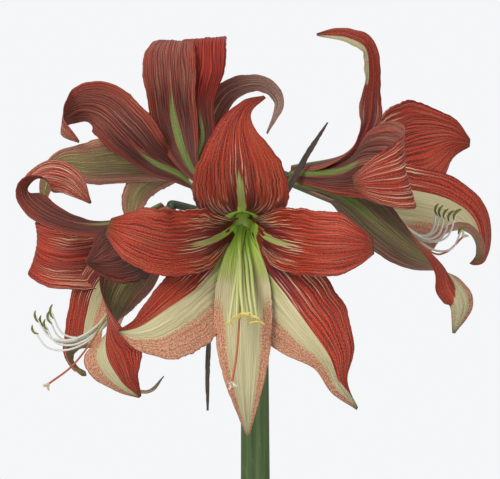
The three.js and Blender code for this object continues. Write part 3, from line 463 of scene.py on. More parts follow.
def midrib(start, look, rows, count):
    """Places, forward, inward and sideways directions, evenly spaced along a blade."""
    path = np.array([start] + [row[:3] for row in rows], float)
    looks = np.concatenate([[unit(look)], unit([row[3:] for row in rows])])
    fine = np.linspace(0, 1, 400)
    steps = np.linalg.norm(np.diff(along(path, fine), axis=0), axis=1)
    length = np.concatenate([[0], np.cumsum(steps)])
    t = np.interp(np.linspace(0, length[-1], count + 1), length, fine)
    places = along(path, t)
    forward = unit(along(path, np.minimum(t + 0.006, 1)) - along(path, np.maximum(t - 0.006, 0)))
    inward = along(looks, t)
    inward = unit(inward - (inward * forward).sum(1)[:, None] * forward)
    return places, forward, inward, np.cross(inward, forward), length[-1]


# Share of a blade's length over which its foot curls round the flower's tube or the neck of the bulb.
TUBE_SHARE = 0.34


def blade(name, start, look, shape, tube=0, thickness=TEPAL_THICKNESS, rows=96, columns=36, relief=1.0):
    """A thin two-sided blade. Returns the object and its coordinates v, from -1 to 1 across,
    and s, from 0 to 1 along, for its inner points and then its outer ones."""
    seed = sum(ord(letter) for letter in name)
    places, forward, inward, side, length = midrib(start, look, shape["rib"], rows)
    s = np.linspace(0, 1, rows + 1)[:, None]
    v = np.linspace(-1, 1, columns + 1)[None, :]
    line = s[:, 0]
    half_plus = shape["half"]
    half_minus = shape.get("halfMinus", half_plus)
    uneven = 1 + (0.018 * hills(line * 2, seed) + 0.012 * hills(line * 9, seed + 3)) * ramp(line, 0.3, 0.5)
    outline = along(shape["outline"], line) * uneven
    outline_minus = along(shape.get("outlineMinus", shape["outline"]), line) * uneven
    half = np.where(v < 0, half_minus * outline_minus[:, None], half_plus * outline[:, None])
    cup = shape.get("cup", PLAIN_CUP)
    cups = [along(shape.get("cupMinus", cup), line), along(cup, line)]
    bend = np.where(v < 0, cups[0][:, None], cups[1][:, None])
    bend = np.radians(bend + tube * np.clip(1 - s / TUBE_SHARE, 0, 1))
    bend = np.where(np.abs(bend) < 0.001, 0.001, bend)
    fade = np.clip(3 * s - 0.8, 0, 1) * np.clip(5 * (1 - s), 0, 1)
    turn = 3 * s + shape.get("phase", 0) + np.where(v > 0, 0.37, 0)
    rise = shape.get("ruffle", 1) * fade * np.abs(v) ** 2.5 * np.sin(TURN * turn)
    flutter = hills(s * 3 + np.where(v > 0, 0.5, 0), seed + 7, 6)
    rise = rise + relief * 0.35 * fade * np.abs(v) ** 5 * flutter
    pleats = np.sin(TURN * (4.5 * v + 0.25 * np.sin(5 * s + seed)))
    rise = rise + relief * 0.16 * pleats * ramp(s, 0.1, 0.35) * (1 - np.abs(v) ** 6) * ramp(half, 2, 9)
    rise = rise - relief * 0.55 * np.exp(-((v / 0.07) ** 2)) * ramp(half, 2, 8)
    across = half * np.sin(bend * np.abs(v)) * np.sign(v) / bend
    lift = half * (1 - np.cos(bend * np.abs(v))) / bend + rise
    grid = places[:, None] + across[..., None] * side[:, None] + lift[..., None] * inward[:, None]
    normal = unit(np.cross(np.gradient(grid, axis=0), np.gradient(grid, axis=1)))
    deep = thickness / 2 * (1 - 0.45 * np.abs(v) ** 3) + relief * 0.4 * np.exp(-((v / 0.09) ** 2)) * (1 - s)
    inner = (grid + normal * thickness / 2 * (1 - 0.45 * np.abs(v) ** 3)[..., None]).reshape(-1, 3)
    outer = (grid - normal * deep[..., None]).reshape(-1, 3)
    count = len(inner)
    wide = columns + 1
    sheet = strip_faces(rows, columns)
    faces = [(a, d, c, b) for a, b, c, d in sheet]
    faces += [(a + count, b + count, c + count, d + count) for a, b, c, d in sheet]
    rim = list(range(columns)) + [i * wide + columns for i in range(rows)]
    rim += [rows * wide + j for j in range(columns, 0, -1)] + [i * wide for i in range(rows, 0, -1)]
    following = rim[1:] + rim[:1]
    faces += [(a, b, b + count, a + count) for a, b in zip(rim, following)]
    piece = new_object(name, np.concatenate([inner, outer]), faces, [])
    v_all = np.tile(np.broadcast_to(v, grid.shape[:2]).ravel(), 2)
    s_all = np.tile(np.broadcast_to(s, grid.shape[:2]).ravel(), 2)
    half_all = np.tile(half.ravel(), 2)
    give(piece, "blade", np.stack([v_all, s_all, np.full(2 * count, seed % 97)], 1))
    give(piece, "mm", np.stack([v_all * half_all, s_all * length, np.full(2 * count, seed % 89)], 1))
    lay_map(piece, v_all, s_all, count, len(sheet))
    return piece, v_all, s_all, half_all, len(sheet)


def lay_map(piece, v, s, count, quads):
    """UV map with the inner face on the left half, the outer face on the right, the rim between."""
    mesh = piece.data
    corners = np.empty(len(mesh.loops), int)
    mesh.loops.foreach_get("vertex_index", corners)
    kind = np.repeat([0, 1, 2], [4 * quads, 4 * quads, len(corners) - 8 * quads])
    share = (v[corners] + 1) / 2
    u = np.select([kind == 0, kind == 1], [0.01 + 0.48 * share, 0.99 - 0.48 * share], 0)
    rim_u = np.where(corners < count, 0.497, 0.503)
    u = np.where(kind == 2, rim_u, u)
    layer = mesh.uv_layers.new(name="OFBake")
    layer.data.foreach_set("uv", np.stack([u, 0.01 + 0.98 * s[corners]], 1).astype(np.float32).ravel())


def rod(path, radii, steps=48, sides=16, lobes=0, lobe_depth=0.0):
    """Points, faces and coordinates of a round rod along a smooth path, with rounded ends."""
    t = np.linspace(0, 1, steps + 1)
    centres = along(path, t)
    forward = unit(np.gradient(centres, axis=0))
    radius = along(radii, t)
    side = np.cross([0, 0, 1.0], forward[0])
    if np.linalg.norm(side) < 0.1:
        side = np.cross([0, 1.0, 0], forward[0])
    side = unit(side)
    points, turns, lengths = [], [], []
    angle = np.linspace(0, TURN, sides, endpoint=False)
    for i in range(steps + 1):
        side = unit(side - side.dot(forward[i]) * forward[i])
        other = np.cross(forward[i], side)
        r = radius[i] * (1 + lobe_depth * np.cos(lobes * angle))
        ring = centres[i] + r[:, None] * (np.cos(angle)[:, None] * side + np.sin(angle)[:, None] * other)
        points.append(ring)
        turns.append(angle / TURN)
        lengths.append(np.full(sides, t[i]))
    faces = strip_faces(steps, sides, closed=True)
    points = np.concatenate(points)
    last = len(points)
    foot = centres[0] - forward[0] * radius[0] * 0.3
    tip = centres[-1] + forward[-1] * radius[-1] * 0.5
    points = np.concatenate([points, [foot, tip]])
    for k in range(sides):
        faces.append((last, (k + 1) % sides, k))
        faces.append((last + 1, steps * sides + k, steps * sides + (k + 1) % sides))
    turn = np.append(np.concatenate(turns), [0.5, 0.5])
    length = np.append(np.concatenate(lengths), [0, 1])
    return points, faces, np.stack([turn, length], 1)


def joined(parts):
    """One set of points and faces from several, with the number of the part for each point."""
    points, faces, owner, where = [], [], [], []
    start = 0
    for n, (part_points, part_faces, part_where) in enumerate(parts):
        points.append(part_points)
        faces += [tuple(corner + start for corner in face) for face in part_faces]
        owner.append(np.full(len(part_points), n))
        where.append(part_where)
        start += len(part_points)
    return np.concatenate(points), faces, np.concatenate(where), np.concatenate(owner)


# Materials.


def linear(code):
    """Linear colour from a six-digit sRGB code."""
    parts = [int(code[i : i + 2], 16) / 255 for i in (0, 2, 4)]
    return [p / 12.92 if p <= 0.04045 else ((p + 0.055) / 1.055) ** 2.4 for p in parts] + [1.0]


class Look:
    """A procedural material: short names for the few kinds of node that the looks use."""

    def __init__(self, name, roughness=0.5):
        self.material = bpy.data.materials.new(name)
        self.material.use_nodes = True
        self.tree = self.material.node_tree
        self.shader = self.tree.nodes["Principled BSDF"]
        self.shader.inputs["Roughness"].default_value = roughness

    def put(self, socket, value):
        if isinstance(value, bpy.types.NodeSocket):
            self.tree.links.new(value, socket)
        elif isinstance(value, str):
            socket.default_value = linear(value)
        else:
            socket.default_value = value

    def node(self, kind, inputs=(), **settings):
        node = self.tree.nodes.new(kind)
        for key, value in settings.items():
            setattr(node, key, value)
        for index, value in dict(inputs).items():
            self.put(node.inputs[index], value)
        return node

    def read(self, name):
        return self.node("ShaderNodeAttribute", attribute_name=name)

    def sum(self, a, b, operation="ADD"):
        return self.node("ShaderNodeMath", {0: a, 1: b}, operation=operation).outputs[0]

    def times(self, a, b):
        return self.sum(a, b, "MULTIPLY")

    def step(self, value, low, high, start=0.0, end=1.0):
        inputs = {"Value": value, "From Min": low, "From Max": high, "To Min": start, "To Max": end}
        return self.node("ShaderNodeMapRange", inputs, interpolation_type="SMOOTHSTEP").outputs[0]

    def mix(self, share, a, b, blend="MIX"):
        node = self.node("ShaderNodeMix", data_type="RGBA", blend_type=blend)
        self.put(node.inputs["Factor"], share)
        self.put(node.inputs[6], a)
        self.put(node.inputs[7], b)
        return node.outputs[2]

    def noise(self, place, stretch, detail=3.0, rough=0.55, shift=0.0):
        scaled = self.node("ShaderNodeVectorMath", {0: place, 1: stretch}, operation="MULTIPLY")
        inputs = {0: scaled.outputs[0], 1: (shift, shift, shift)}
        moved = self.node("ShaderNodeVectorMath", inputs, operation="ADD")
        inputs = {"Vector": moved.outputs[0], "Scale": 1.0, "Detail": detail, "Roughness": rough}
        return self.node("ShaderNodeTexNoise", inputs).outputs[0]

    def finish(self, colour, height=None, depth=0.2, roughness=None, strength=1.0):
        self.put(self.shader.inputs["Base Color"], colour)
        if roughness is not None:
            self.put(self.shader.inputs["Roughness"], roughness)
        if height is not None:
            inputs = {"Height": height, "Distance": depth * MM, "Strength": strength}
            bump = self.node("ShaderNodeBump", inputs)
            self.put(self.shader.inputs["Normal"], bump.outputs[0])
        return self.material


def veined(look, blade_place, mm, shift):
    """Fields that every petal shares: ribs of about even width, fine threads, mottling and grain."""
    wander = look.noise(blade_place, (2.5, 2.2, 1), 2, 0.5, shift + 9)
    across = look.node("ShaderNodeSeparateXYZ", {0: blade_place}).outputs[0]
    phase = look.sum(look.times(across, 11.0), look.times(wander, 4.5))
    wave = look.sum(look.times(phase, TURN), 0.0, "SINE")
    broken = look.noise(blade_place, (26, 2.0, 1), 3, 0.6, shift)
    ribs = look.sum(look.sum(look.times(wave, 0.15), 0.25), look.times(broken, 0.5))
    threads = look.noise(blade_place, (64, 3.0, 1), 2, 0.5, shift + 5)
    mottle = look.noise(mm, (1.3, 0.7, 1), 3, 0.7, shift + 3)
    grain = look.noise(mm, (2.6, 1.3, 1), 3, 0.65, shift + 13)
    return ribs, threads, mottle, grain, wander


def centred(look, field, share):
    return look.times(look.sum(field, 0.5, "SUBTRACT"), share)


def petal_inner():
    look = Look("petal_inner")
    blade_place = look.read("blade").outputs["Vector"]
    mm = look.read("mm").outputs["Vector"]
    a = look.read("zone_a")
    pale, green, dark = look.node("ShaderNodeSeparateColor", {0: a.outputs["Color"]}).outputs
    streak = a.outputs["Alpha"]
    b = look.read("zone_b")
    speck, line, warm = look.node("ShaderNodeSeparateColor", {0: b.outputs["Color"]}).outputs
    tip = b.outputs["Alpha"]
    ribs, threads, mottle, grain, wander = veined(look, blade_place, mm, 0)

    red = look.mix(look.step(ribs, 0.38, 0.6), "640f0a", "b82810")
    red = look.mix(look.step(wander, 0.45, 0.7, 0, 0.4), red, "c2431f")
    red = look.mix(look.step(threads, 0.5, 0.66, 0, 0.45), red, "e4906e")
    red = look.mix(look.step(threads, 0.3, 0.45, 0.65, 0), red, "450b0a")
    red = look.mix(look.step(grain, 0.5, 0.64, 0, 0.65), red, "600d0a")
    red = look.mix(look.step(grain, 0.34, 0.45, 0.5, 0), red, "e39c7c")
    red = look.mix(look.times(dark, look.step(threads, 0.35, 0.7, 1.0, 0.55)), red, "561128")
    lines = look.sum(ribs, centred(look, threads, 1.4))
    lines = look.sum(lines, look.times(look.sum(streak, 1, "SUBTRACT"), 0.2))
    share = look.times(look.step(lines, 0.54, 0.62), look.step(streak, 0, 0.4, 0, 0.9))
    red = look.mix(share, red, "e2c6a4")

    cream = look.mix(look.step(threads, 0.35, 0.7), "b2ad7c", "d6cea8")
    cream = look.mix(look.step(mottle, 0.35, 0.7, 0, 0.35), cream, "c9a886")
    net = look.sum(mottle, centred(look, ribs, 0.2))
    net = look.sum(net, centred(look, grain, 1.1))
    salmon = look.mix(look.step(net, 0.36, 0.62), "d2b08e", "b0583c")
    cream = look.mix(look.step(look.sum(speck, centred(look, net, 0.8)), 0.25, 0.65), cream, salmon)
    cream = look.mix(look.times(line, look.step(threads, 0.4, 0.55)), cream, "4d5424")

    edge = look.sum(pale, centred(look, ribs, 0.3))
    colour = look.mix(look.step(edge, 0.42, 0.58), red, cream)
    # The yellow-green at the foot is the throat's own colour, lightened as painted light against the shade
    # deep in the tube.
    leafy = look.mix(warm, "b4da4a", "a6ad66")
    leafy = look.mix(look.step(threads, 0.4, 0.7, 0, 0.35), leafy, "d3d8a4")
    share = look.sum(centred(look, green, 1.6), centred(look, ribs, 0.8))
    share = look.sum(share, centred(look, threads, 1.4))
    colour = look.mix(look.step(share, -0.12, 0.16), colour, leafy)
    colour = look.mix(look.times(tip, 0.8), colour, "5d5a38")
    # Painted light: the green zones of the throat and of the pale bases glow a little, lifting the shade
    # deep in the tube; no lamp is there.
    painted_light_share = look.times(look.step(share, -0.12, 0.16), look.sum(0.15, look.times(warm, 0.15), "SUBTRACT"))
    look.put(look.shader.inputs["Emission Color"], leafy)
    look.put(look.shader.inputs["Emission Strength"], painted_light_share)
    height = look.sum(ribs, look.times(threads, 0.45))
    height = look.sum(height, look.times(grain, 0.35))
    look.shader.inputs["Specular IOR Level"].default_value = 0.25
    return look.finish(colour, height, 0.9, look.step(threads, 0.3, 0.7, 0.42, 0.62))


def petal_outer():
    look = Look("petal_outer")
    blade_place = look.read("blade").outputs["Vector"]
    mm = look.read("mm").outputs["Vector"]
    a = look.read("zone_a")
    pale, green, dark = look.node("ShaderNodeSeparateColor", {0: a.outputs["Color"]}).outputs
    ruddy = a.outputs["Alpha"]
    b = look.read("zone_b")
    fade, bright, warm = look.node("ShaderNodeSeparateColor", {0: b.outputs["Color"]}).outputs
    tip = b.outputs["Alpha"]
    ribs, threads, mottle, grain, wander = veined(look, blade_place, mm, 21)

    dusk = look.mix(look.step(ribs, 0.4, 0.62), "561c16", "a0422f")
    dusk = look.mix(look.step(threads, 0.48, 0.66, 0, 0.65), dusk, "cb8f78")
    dusk = look.mix(look.step(grain, 0.5, 0.68, 0, 0.4), dusk, "441813")
    rich = look.mix(look.step(ribs, 0.4, 0.62), "641a12", "ab3c28")
    rich = look.mix(look.step(threads, 0.48, 0.66, 0, 0.6), rich, "d0886a")
    dusk = look.mix(look.step(look.sum(ruddy, centred(look, wander, 1.2)), 0.25, 0.85), dusk, rich)
    dusk = look.mix(bright, dusk, look.mix(look.step(ribs, 0.4, 0.62), "6e1410", "b8361f"))
    ash = look.mix(look.step(threads, 0.35, 0.65), "b88474", "e6cdbb")
    dusk = look.mix(look.times(fade, 0.8), dusk, ash)
    grey = look.mix(look.step(ribs, 0.4, 0.6), "868048", "bfae78")
    grey = look.mix(look.step(threads, 0.5, 0.7, 0, 0.6), grey, "b8a888")
    pink = look.mix(look.step(threads, 0.4, 0.6), "a8604c", "d4a284")
    share = look.sum(look.times(ruddy, 0.9), centred(look, ribs, 1.1))
    grey = look.mix(look.step(share, -0.15, 0.5), grey, pink)
    colour = look.mix(pale, dusk, grey)
    # Painted shade: the third zone darkens the outer face towards near black beside the band, for the shade
    # in the grooves between tepals.
    colour = look.mix(look.times(dark, look.step(threads, 0.35, 0.7, 1.0, 0.65)), colour, "26100f")
    leafy = look.mix(warm, "5c7a2c", "7f8a4a")
    leafy = look.mix(look.step(threads, 0.42, 0.7, 0, 0.45), leafy, "aab078")
    share = look.sum(look.sum(green, centred(look, ribs, 0.6)), centred(look, threads, 0.8))
    colour = look.mix(look.step(share, 0.36, 0.68), colour, leafy)
    colour = look.mix(look.step(mottle, 0.4, 0.7, 0, 0.4), colour, "3e2420")
    colour = look.mix(look.times(tip, 0.7), colour, "5d5a38")
    height = look.sum(ribs, look.times(threads, 0.5))
    height = look.sum(height, look.times(grain, 0.3))
    look.shader.inputs["Specular IOR Level"].default_value = 0.3
    return look.finish(colour, height, 0.9, look.step(threads, 0.3, 0.7, 0.45, 0.62))


# Markings of a tepal, and the painted shade of its outer face. Widths and places across run from 0 at the
# midrib to 1 at the edge, places along run from 0 at the foot to 1 at the tip, and a place past 1 means
# that there is none.
ALL_OVER = 2
DEFAULT_SKIN = {
    "pale": 0,  # 0 is red, 1 or -1 is pale on the side with that sign of v, 2 is pale all over
    "shift": 0,  # how far the border of a pale half is moved across the midrib
    "speck": 0.2,  # where the salmon mottling of a pale part begins, across and along
    "tail": 2,  # where the whole width turns pale
    "pale_end": 2,  # where a pale strip along the edge with v above 0 begins
    "star": 0.46,  # about where the green bar along the midrib fades out
    "star_width": 2.7,  # half width of that bar at the foot, in millimetres
    "throat": 0.16,  # where the green of the throat ends
    "streak": 0.75,  # where the cream streaks that leave the throat end
    "blush": 0,  # share of cream streaks near the tip
    "outer": "dusk",  # outer face: dusk is dull red, red is bright towards the tip, green is grey-green
    "band": 0.5,  # where the green band along the outer face ends
    "band_width": 0.3,  # half width of that band at the foot
    "painted_shade": 0,  # share of painted shade that darkens the outer face beside the band, towards the foot
    "fade": 0,  # share of paling of the outer face towards the tip
}


def paint(piece, skin, v, s, half):
    """Zones of colour of a tepal, for the inner points and then the outer ones."""
    k = {**DEFAULT_SKIN, **skin}
    size = np.abs(v)
    side = {0: -size - 1, 1: v, -1: -v, ALL_OVER: size}[k["pale"]]
    side = side + k["shift"]
    pale = np.ones_like(v) if k["pale"] == ALL_OVER else ramp(side, -0.1, -0.02)
    ending = ramp(s + 0.12 * np.clip(side, -1, 1), k["tail"] - 0.05, k["tail"] + 0.05)
    side = np.maximum(side, ending * (0.1 + 0.4 * size))
    pale = np.maximum(pale, ending)
    edge_strip = ramp(s, k["pale_end"] - 0.1, k["pale_end"] + 0.05) * ramp(v, 0.3, 0.5)
    pale = np.maximum(pale, edge_strip)
    reach = k["star"]
    width = k["star_width"] * (1 - 0.45 * ramp(s, reach * 0.5, reach * 1.3))
    star = 1 - ramp(size * half, width * 0.75, width * 1.25)
    star = star * (1 - ramp(s, reach * 0.7, reach * 1.4))
    throat = 1 - ramp(s, k["throat"] * 0.75, k["throat"] * 1.15)
    leafy_end = 0.5 if k["pale"] == ALL_OVER else 0.66
    leafy = pale * (1 - ramp(s, 0.3, leafy_end)) * 0.85
    green = np.maximum(np.maximum(star * (1 - pale), throat), leafy)
    dark = ramp(size * half, width, width * 1.4) * (1 - ramp(size * half, 7, 13))
    dark = dark * ramp(s, k["throat"] - 0.02, k["throat"] + 0.08) * (1 - ramp(s, 0.3, 0.68))
    streak = ramp(size * half, 5, 10) * ramp(s, k["throat"] - 0.04, k["throat"] + 0.08)
    dark = np.maximum(dark, 0.45 * ramp(size, 0.95, 1) * ramp(s, 0.2, 0.3))
    streak = streak * (1 - ramp(s, k["streak"] * 0.25, k["streak"]))
    fringe = ramp(s, reach * 0.6, reach) * (1 - ramp(s, reach, reach * 1.5))
    fringe = fringe * (1 - ramp(size * half, 3, 7))
    streak = np.maximum(streak, 0.6 * fringe)
    streak = np.maximum(streak, k["blush"] * ramp(s, 0.55, 0.8))
    speck = ramp(side, k["speck"], k["speck"] * 0.6 + 0.63)
    speck = speck * ramp(s, k["speck"] - 0.05, k["speck"] + 0.2)
    line = np.exp(-(((side - 0.24) / 0.025) ** 2)) * pale * 0.7
    line = line * ramp(s, 0.28, 0.34) * (1 - ramp(s, 0.5, 0.6))
    warm = ramp(s, 0.12, 0.4)
    tip = 0.7 * ramp(s, 0.965, 1)
    inner_a = np.stack([pale, green, dark * (1 - pale), streak], 1)
    inner_b = np.stack([speck, line, warm, tip], 1)

    kind = k["outer"]
    grey = np.full_like(v, 1.0 if kind == "green" else 0.0)
    width = k["band_width"] * np.clip(1 - 0.75 * s / k["band"], 0.05, 1)
    band = (1 - ramp(size, width * 0.6, width * 1.3)) * (1 - ramp(s, k["band"] * 0.6, k["band"] * 1.2))
    if kind == "green":
        band = np.maximum(band, 0.4 * (1 - ramp(size, 0.05, 0.35)))
    # Painted shade beside the band near the foot: partly the tepal's own dark purple, partly the shade in
    # the grooves where neighbouring tepals meet round the tube.
    groove_shade = ramp(size, width * 0.9, width * 1.5) * (1 - ramp(size, 0.55, 1)) * (1 - ramp(s, 0.35, 0.75))
    groove_shade = groove_shade * (0.55 if kind == "green" else 0.7)
    groove_shade = np.maximum(groove_shade, k["painted_shade"] * (1 - ramp(s, 0.5, 0.8)) * (1 - band))
    ruddy = ramp(size, 0.35, 1)
    fade = k["fade"] * ramp(s, 0.45, 0.85)
    bright = np.full_like(v, 1.0 if kind == "red" else 0.0) * ramp(s, 0.35, 0.6)
    outer_a = np.stack([grey, band, groove_shade, ruddy], 1)
    outer_b = np.stack([fade, bright, ramp(s, 0.1, 0.5), tip], 1)
    inside = (np.arange(len(v)) < len(v) // 2)[:, None]
    give(piece, "zone_a", np.where(inside, inner_a, outer_a), "FLOAT_COLOR")
    give(piece, "zone_b", np.where(inside, inner_b, outer_b), "FLOAT_COLOR")


def stem_look(name, dark, mid, light, roughness=0.5, stripes=14):
    look = Look(name, roughness)
    place = look.read("mm").outputs["Vector"]
    stripe = look.noise(place, (stripes, 0.02, 1), 3, 0.6)
    mottle = look.noise(place, (stripes, 0.25, 1), 4, 0.65, 7)
    colour = look.mix(look.step(stripe, 0.35, 0.65), dark, mid)
    colour = look.mix(look.step(mottle, 0.5, 0.75, 0, 0.6), colour, light)
    height = look.sum(stripe, look.times(mottle, 0.4))
    return look.finish(colour, height, 0.3, look.step(mottle, 0.3, 0.7, roughness - 0.08, roughness + 0.1))


def filament_look(name, foot, end, speck):
    look = Look(name, 0.45)
    place = look.read("mm").outputs["Vector"]
    along_it = look.node("ShaderNodeSeparateXYZ", {0: place}).outputs[1]
    streaks = look.noise(place, (6, 0.05, 1), 3, 0.6)
    colour = look.mix(look.step(along_it, 15, 85), foot, end)
    colour = look.mix(look.step(streaks, 0.45, 0.7, 0, 0.5), colour, speck)
    return look.finish(colour, streaks, 0.15, look.step(streaks, 0.3, 0.7, 0.4, 0.55))


def rod_object(name, parts, materials, kinds=None):
    """One object of several parts; kinds gives the number of the material of each part."""
    points, faces, where, owner = joined(parts)
    piece = new_object(name, points, faces, materials)
    give(piece, "mm", np.stack([where[:, 0], where[:, 1] * 100, owner.astype(float)], 1))
    if kinds:
        chosen = np.array([kinds[owner[face[0]]] for face in faces], np.int32)
        piece.data.polygons.foreach_set("material_index", chosen)
    return piece


def cross_frame(flower):
    axis = unit(flower["axis"])
    right = unit(np.cross(-axis, [0, 0, 1.0]))
    return axis, right, np.cross(axis, right)


inner_look = petal_inner()
outer_look = petal_outer()

# Tepals.

for flower in FLOWERS:
    axis, right, up = cross_frame(flower)
    for tepal in flower["tepals"]:
        angle = math.radians(tepal["azimuth"])
        outward = right * math.cos(angle) + up * math.sin(angle)
        start = np.array(flower["base"]) + outward * (INNER_RING if tepal.get("inner") else OUTER_RING)
        name = f"{flower['name']}_petal_{tepal['name']}"
        piece, v, s, half, quads = blade(name, start, -outward, tepal, tube=60)
        piece.data.materials.append(inner_look)
        piece.data.materials.append(outer_look)
        index = np.repeat([0, 1], [quads, len(piece.data.polygons) - quads])
        piece.data.polygons.foreach_set("material_index", index.astype(np.int32))
        paint(piece, tepal.get("skin", {}), v, s, half)

        solid_name = f"{flower['name']}_tepal_{tepal['name']}"
        stand_for(piece, solid_name)

# Stalks.

scape_look = stem_look("scape_skin", "33481c", "506a34", "6a7f48", 0.5, 16)
pedicel_look = stem_look("pedicel_skin", "1c2414", "2c3a20", "465c34", 0.5, 10)
bract_look = stem_look("bract_skin", "36302a", "554b3d", "7f705a", 0.85, 9)

# Radii of a flower stalk, from the scape to its flower.
PEDICEL_RADII = [3.6, 2.8, 2.8, 3.4, 4, 4.1]

scape_path = [[0, 0, SCAPE_FOOT], [0.6, 0, 260], [0.2, 0.3, 370], [-0.2, 0, 470], [0, 0, SCAPE_TOP - 5]]
scape_radii = [SCAPE_FOOT_RADIUS, 10.6, 9.9, SCAPE_RADIUS, SCAPE_RADIUS]
scape = rod_object("stalk", [rod(scape_path, scape_radii, 120, 48, 2, 0.02)], [scape_look])
stand_for(scape, "scape")

for flower in FLOWERS:
    axis, right, up = cross_frame(flower)
    base = np.array(flower["base"], float)
    path = [*flower["pedicel"], base - axis * 6, base - axis * 3, base, base + axis * PLUG_LENGTH]
    stalk = rod_object(
        f"{flower['name']}_flower_stalk",
        [rod(path, PEDICEL_RADII, 60, 36, 3, 0.06)],
        [pedicel_look],
    )
    stand_for(stalk, f"{flower['name']}_pedicel")

# Width of a dry bract as a share of the width of its solid.
BRACT_WIDTH_SHARE = 0.75

for bract in BRACTS:
    name = f"dry_bract_{bract['name']}"
    shape = {**bract, "half": bract["half"] * BRACT_WIDTH_SHARE, "ruffle": 0.5}
    foot = bract["start"]
    piece = blade(name, foot[:3], foot[3:], shape, 0, 1.2, 80, 16, 1.4)[0]
    piece.data.materials.append(bract_look)
    stand_for(piece, f"bract_{bract['name']}")

# Stamens and pistils.

white_filament = filament_look("filament_white", "8fa06a", "d6d6cc", "f0efe8")
green_filament = filament_look("filament_green", "86ad34", "c2cc84", "dfe0b4")
anther_look = stem_look("anther_yellow", "b8a04a", "dccb70", "eee3a4", 0.8, 5)
olive_anther_look = stem_look("anther_olive", "55591f", "7d7f32", "b1ad63", 0.85, 5)
style_look = filament_look("style_skin", "93a24a", "a8452a", "cc7e58")
stigma_look = stem_look("stigma_skin", "c9b9a0", "dccfb6", "efe7d4", 0.7, 6)

# The core that the stamens stand on: distance along the flower's axis, and radius.
RECEPTACLE = [(-1.5, 5.6), (0, 6.2), (5, 6.2), (11, 4.4)]
# Share of the anther's half length, and of its bow to the side, along an anther.
ANTHER_CURVE = [(-1, -1), (-0.5, 0.3), (0, 0.6), (0.5, 0.3), (1, -1)]

for flower in FLOWERS:
    axis, right, up = cross_frame(flower)
    base = np.array(flower["base"], float)
    plate = base + axis * (PLUG_LENGTH + 0.9)
    core = [plate + axis * distance for distance, radius in RECEPTACLE]
    parts = [rod(core, [radius for distance, radius in RECEPTACLE], 12, 24, 6, 0.06)]
    kinds = [0]
    green = flower["name"] == "front"
    for k, fan in enumerate(flower["fan"]):
        angle = math.radians(60 * k + 30)
        ring = 2.9 * (right * math.cos(angle) + up * math.sin(angle))
        guide = [plate + ring]
        last = len(flower["filaments"])
        for i, point in enumerate(flower["filaments"], 1):
            share = i / last
            guide.append(np.array(point) + ring * (1 - share) ** 0.7 + np.array(fan) * share**1.2)
        parts.append(rod(guide, [1.2, 1.2, 1.1, 0.8] if green else [1.1, 0.9, 0.8, 0.6], 60, 12))
        kinds.append(0)
        lean = np.array(flower["anther"], float) + 0.15 * np.array(fan)
        end = guide[-1]
        bow = unit(np.cross(lean, [0.2, 1, 0.1])) * 1.2
        curve = [end + lean * share + bow * bend for share, bend in ANTHER_CURVE]
        parts.append(rod(curve, [0.4, 0.9, 1.05, 0.9, 0.4], 20, 12, 2, 0.15))
        kinds.append(1)
    looks = [green_filament, anther_look] if green else [white_filament, olive_anther_look]
    piece = rod_object(f"{flower['name']}_filaments", parts, looks, kinds)
    stand_for(piece, f"{flower['name']}_stamens")

    tip = np.array(flower["pistil"][-1], float)
    heading = unit(flower["stigma"])
    crosswise = unit(np.cross(heading, [0, 1, 0.2]))
    other = np.cross(heading, crosswise)
    parts = [rod(flower["pistil"], [1, 0.8, 0.7, 0.75], 90, 14)]
    for k in range(3):
        angle = TURN * k / 3
        lobe = heading + 0.9 * (crosswise * math.cos(angle) + other * math.sin(angle))
        curl = lobe - 0.7 * heading
        arm = [tip - heading * 0.5, tip + lobe * 1.6, tip + lobe * 2.4 + curl * 1.4]
        parts.append(rod(arm, [0.95, 0.9, 0.6], 14, 10))
    piece = rod_object(f"{flower['name']}_style", parts, [style_look, stigma_look], [0, 1, 1, 1])
    stand_for(piece, f"{flower['name']}_pistil")

# Leaves.


def leaf_look():
    look = Look("leaf_skin", 0.42)
    place = look.read("blade").outputs["Vector"]
    mm = look.read("mm").outputs["Vector"]
    veins = look.noise(place, (24, 0.6, 1), 2, 0.5)
    fine = look.noise(place, (70, 1.5, 1), 2, 0.5, 5)
    mottle = look.noise(mm, (0.1, 0.05, 1), 4, 0.6, 3)
    colour = look.mix(look.step(veins, 0.35, 0.65), "2f5a24", "4f7f38")
    colour = look.mix(look.step(fine, 0.5, 0.75, 0, 0.4), colour, "7ea35a")
    colour = look.mix(look.step(mottle, 0.45, 0.75, 0, 0.5), colour, "3c6a2a")
    split = look.node("ShaderNodeSeparateXYZ", {0: place})
    foot = look.step(split.outputs[1], 0.0, 0.2)
    colour = look.mix(foot, "b5b98a", colour)
    tip = look.step(split.outputs[1], 0.93, 1.0)
    colour = look.mix(look.times(tip, 0.7), colour, "8a7a42")
    height = look.sum(veins, look.times(fine, 0.3))
    return look.finish(colour, height, 0.5, look.step(mottle, 0.3, 0.7, 0.36, 0.5))


strap_look = leaf_look()
for leaf in LEAVES:
    name = f"strap_leaf_{leaf['name']}"
    foot = leaf["start"]
    piece = blade(name, foot[:3], foot[3:], leaf, 40, LEAF_THICKNESS, 120, 32, 1.0)[0]
    piece.data.materials.append(strap_look)
    stand_for(piece, f"leaf_{leaf['name']}")

# Bulb, soil and pot.


